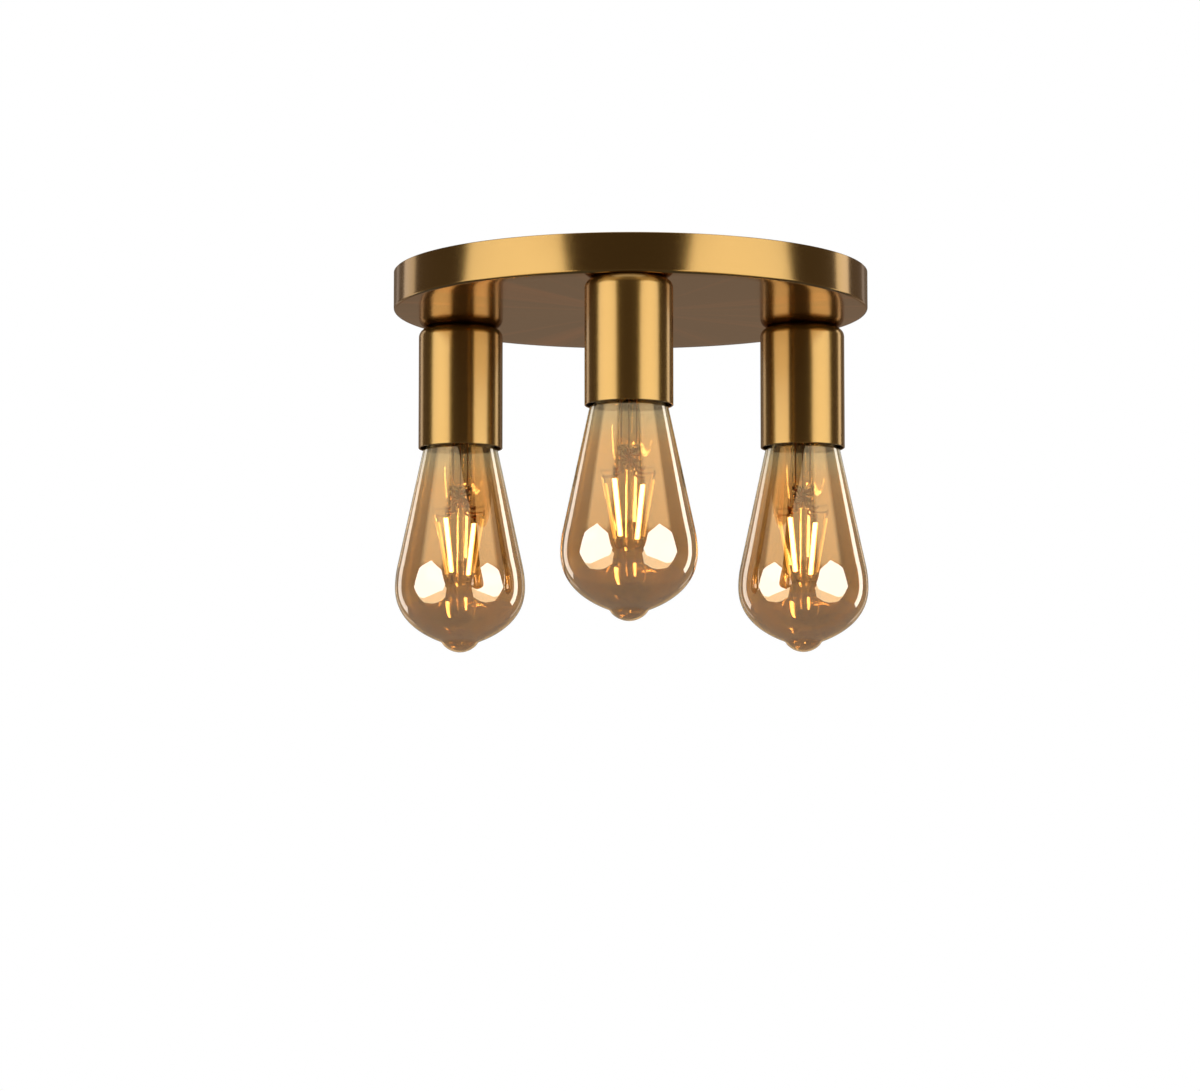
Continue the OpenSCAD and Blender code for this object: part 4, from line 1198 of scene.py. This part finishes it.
# %% Tubes, nuts and washers
TUBE_THREAD = 0.56 * MM
TUBE_PITCH = 1 * MM
NOTCHES = 18
NOTCH_DEPTH = 0.05
NUT_CORNER = 14 / math.sqrt(3) * MM
NUT_HEIGHT = 3 * MM
NUT_MIDDLE = UNDERSIDE + 3.3 * MM

tube_outline = mm((3.9, 6), (4.45, 6)) + wall_rings(4.66 * MM, 5.8 * MM, -8.6 * MM, 0.14 * MM)
tube_outline += mm((4.45, -8.8), (3.9, -8.8), (3.7, -8.6), (3.7, 5.8))
shape = bmesh.new()
for holder in HOLDERS:
    tube = spin_outline(shape, tube_outline, steps=48)
    roll_thread([v for v in tube if v.co.xy.length > 4.2 * MM], TUBE_THREAD, TUBE_PITCH,
                5.9 * MM, -8.7 * MM)
    bmesh.ops.transform(shape, matrix=holder_frame(holder), verts=tube)
finish_piece("hollow_tubes", shape, [yellow_zinc], "fitting", "threaded_tubes")

shape = bmesh.new()
for holder in HOLDERS:
    ring = spin_outline(shape, mm((5, 1), (9, 1), (9, 1.8), (5, 1.8)), steps=144)
    for vertex in ring:
        if vertex.co.xy.length > 8 * MM:
            share = ease(math.cos(NOTCHES * math.atan2(vertex.co.y, vertex.co.x)))
            vertex.co.xy *= 1 - NOTCH_DEPTH * share
    bmesh.ops.transform(shape, matrix=holder_frame(holder), verts=ring)
round_edges(shape, 0.12 * MM, 60)
finish_piece("notched_washers", shape, [zinc], "fitting", "lock_washers")


def spun_tool(name, outline, place):
    """A spun ring for a Boolean, thrown away after the cut."""
    shape = spun(outline, 96)
    bmesh.ops.translate(shape, vec=place, verts=shape.verts)
    bmesh.ops.recalc_face_normals(shape, faces=shape.faces)
    return mesh_object(name, shape)


shape = bmesh.new()
tools = []
for holder in HOLDERS:
    place = axis_of(holder, NUT_MIDDLE)
    prism = bmesh.ops.create_cone(shape, cap_ends=True, segments=6, radius1=NUT_CORNER,
                                  radius2=NUT_CORNER, depth=NUT_HEIGHT)["verts"]
    bmesh.ops.rotate(shape, matrix=Matrix.Rotation(math.radians(HOLDERS[holder]), 3, "Z"),
                     verts=prism)
    bmesh.ops.translate(shape, vec=place, verts=prism)
    tools.append(cutter(f"nut_bore_{holder}", 5 * MM, DRILL, place))
    for side in (-1, 1):
        ring = mm((6.8, side * 1.52), (8.6, side * 1.52), (8.6, side * 0.5))
        tools.append(spun_tool(f"nut_chamfer_{holder}_{side}", ring, place))
nuts = finish_piece("chamfered_nuts", shape, [yellow_zinc], "fitting", "tube_nuts")
cut_with(nuts, tools)

# %% [markdown]
# ## Porcelain
# The lampholder's cap and barrel are pressed clay, glazed and fired. Their edges are soft,
# because glaze draws back from a corner. The barrel's end, which shows round the bulb when
# one looks up into a cup, has two sunk holes for the screws that hold the halves together.

# %% Porcelain caps and barrels
dome = mm((5, -0.8), (9.45, -0.8))
dome += bezier_points(mm((9.45, -0.8), (16.5, -1.3), (18.5, -4.8), (18.5, -8.8)), 12)
dome += hang(mm((18.5, 13.5), (13.7, 13.5), (13.7, 6.8), (12.2, 5.3), (7.95, 5.3),
                (7.95, 8.8), (5, 8.8)))
barrel = mm((14.8, -13.5), (18.5, -13.5), (18.5, -30))
barrel += bezier_points(mm((18.5, -43), (18.5, -44.8), (18.1, -45.5), (16.8, -45.5)), 8)
barrel += bezier_points(mm((14.6, -45.5), (13.9, -45.5), (13.6, -45.1), (13.6, -44.5)), 5)
barrel += hang(mm((13.6, 43.5), (14.1, 43.5), (14.1, 20), (14.8, 20)))
for holder in HOLDERS:
    place = axis_of(holder, UNDERSIDE)
    shape = spun(dome, 96)
    round_edges(shape, 0.3 * MM)
    finish_piece(f"{holder}_porcelain_dome", shape, [porcelain], "fitting",
                 f"{holder}_porcelain_cap", place)
    shape = spun(barrel, 96)
    round_edges(shape, 0.15 * MM)
    sleeve = finish_piece(f"{holder}_porcelain_sleeve", shape, [porcelain], "fitting",
                          f"{holder}_porcelain_barrel", place)
    tools = []
    for side in (-1, 1):
        hole = holder_frame(holder) @ Vector((0, side * 16.35 * MM, -30 * MM))
        tools.append(cutter(f"long_hole_{side}", 1.35 * MM, 50 * MM, hole))
        tools.append(cutter(f"sunk_hole_{side}", 1.92 * MM, 5 * MM,
                            hole + Vector((0, 0, -15 * MM))))
    cut_with(sleeve, tools)

# %% [markdown]
# ## House wires
# Brown and blue wires run from a shared terminal to each lampholder, and green and yellow
# earth goes to the strap. They lie as they were tucked in by hand, on the routes that
# were measured. A covered wire is a softer, thicker run of our wire helper. The earth
# cover's stripe is kept on the vertices, so that it follows every bend.

# %% Wires, ferrules and the earth tag
WIRE = 0.95 * MM
POLE_START = 33.5
POLE_LEVEL = -10
EARTH_POLE = -8
TAG_X = -20.5
STAND_OFF = 1.4 * MM
# Each wire's pull out of its pole in millimetres, then a place on its way: two shares of
# the lampholders' circle and a height above the pan's inside in millimetres.
LIVE_WAYS = (((30, -2, 4), (0.55, -0.56, 12)), ((14, 2, 4), (0.16, 0.68, 11)),
             ((20, 0, 4), (0.64, 0.31, 11)))
NEUTRAL_WAYS = (((14, 0, -5), (0.31, -0.41, 2)), ((30, 4, -5), (0.41, 0.92, 2)),
                ((24, 0, -5), (0.86, 0.12, 3)))
# Where the three wires of a pole start, across and up, in millimetres.
FAN = ((-1, 0.6), (1, 0.6), (0, -1.1))


def striped_cover():
    """Green wire cover with a yellow stripe along it."""
    material = moulded("earth_sleeve", (0.02, 0.16, 0.03), (0.035, 0.24, 0.05), 0.42, 0.15)
    tree = material.node_tree
    shader = tree.nodes["Principled BSDF"]
    green = shader.inputs["Base Color"].links[0].from_socket
    stripe = node(tree, "ShaderNodeAttribute", {"attribute_name": "stripe"}).outputs["Fac"]
    on_stripe = calculate(tree, "GREATER_THAN", stripe, 0.5)
    feed_all(tree, shader,
             Base_Color=blend_colours(tree, on_stripe, green, (0.75, 0.58, 0.05)))
    return material


def ferrule(shape, pole_y):
    """A plastic collar over a tinned pin, pushed into its pole."""
    before = set(shape.faces)
    collar = mm((0, 27.45), (2.1, 27.45), (2.2, 27.6), (2.2, 32.6), (1.95, 33.45), (0, 33.45))
    pin = mm((0, 20.45), (1.35, 20.45), (1.5, 20.7), (1.5, 28.45), (0, 28.45))
    made = []
    for outline in (collar, pin):
        made += spin_outline(shape, outline, steps=32, closed=False)
    for face in set(shape.faces) - before:
        face.material_index = int(face.calc_center_median().z < 27.4 * MM)
    place = Matrix.Translation(Vector((0, pole_y, POLE_LEVEL)) * MM)
    bmesh.ops.transform(shape, matrix=place @ Matrix.Rotation(math.pi / 2, 4, "Y"),
                        verts=made)


for name, source, cover, slot, pole_y, side, ways in (
        ("live_leads", "live_wires", brown_cover, "brown_wire", 8, 1, LIVE_WAYS),
        ("neutral_leads", "neutral_wires", blue_cover, "blue_wire", 0, -1, NEUTRAL_WAYS)):
    shape = bmesh.new()
    for holder, (leg, way), (fan_y, fan_z) in zip(HOLDERS, ways, FAN):
        turn = math.radians(HOLDERS[holder])
        aside = Vector((-math.sin(turn), math.cos(turn), 0)) * side * STAND_OFF
        stand = axis_of(holder) + aside
        start = Vector((POLE_START, pole_y + fan_y, fan_z + POLE_LEVEL)) * MM
        over = Vector((way[0] * HOLDER_CIRCLE, way[1] * HOLDER_CIRCLE, (way[2] - 18) * MM))
        route = [start] + bezier_points([start, start + Vector(leg) * MM, over,
                                         stand + Vector((0, 0, -4 * MM)),
                                         stand + Vector((0, 0, -13 * MM))], 36)
        push_wire(shape, route + [stand + Vector((0, 0, -30.4 * MM))], WIRE, 16)
    ferrule(shape, pole_y)
    finish_piece(name, shape, [cover, tin], "fitting", source)

shape = bmesh.new()
stripe = shape.verts.layers.float.new("stripe")
start = Vector((POLE_START, EARTH_POLE, POLE_LEVEL)) * MM
bends = [start + Vector((7, 0, 0)) * MM, start + Vector((3, -18, 0)) * MM,
         Vector((TAG_X, -30, -8)) * MM, Vector((TAG_X, -9.5, -3.7)) * MM]
push_wire(shape, [start] + bezier_points([start] + bends, 40), WIRE, 18, stripe=stripe)
ferrule(shape, EARTH_POLE)
before = set(shape.faces)
ring = spin_outline(shape, mm((2.1, -2.8), (4.2, -2.8), (4.2, -2), (2.1, -2)), steps=64)
tongue = bmesh.ops.create_cube(shape, size=1)["verts"]
bmesh.ops.scale(shape, vec=(3.2 * MM, 6.2 * MM, 0.78 * MM), verts=tongue)
bmesh.ops.translate(shape, vec=(0, -6.3 * MM, -2.4 * MM), verts=tongue)
crimp = spin_outline(shape, mm((0.96, 0), (1.3, 0), (1.3, 4.5), (0.96, 4.5)), steps=32)
bmesh.ops.transform(shape, matrix=Matrix.Translation((0, -12.4 * MM, -3.7 * MM))
                    @ Matrix.Rotation(-math.pi / 2, 4, "X"), verts=crimp)
bmesh.ops.translate(shape, vec=(TAG_X * MM, 0, 0), verts=ring + tongue + crimp)
for face in set(shape.faces) - before:
    face.material_index = 1
finish_piece("earth_lead", shape, [striped_cover(), tin], "fitting", "earth_wire")
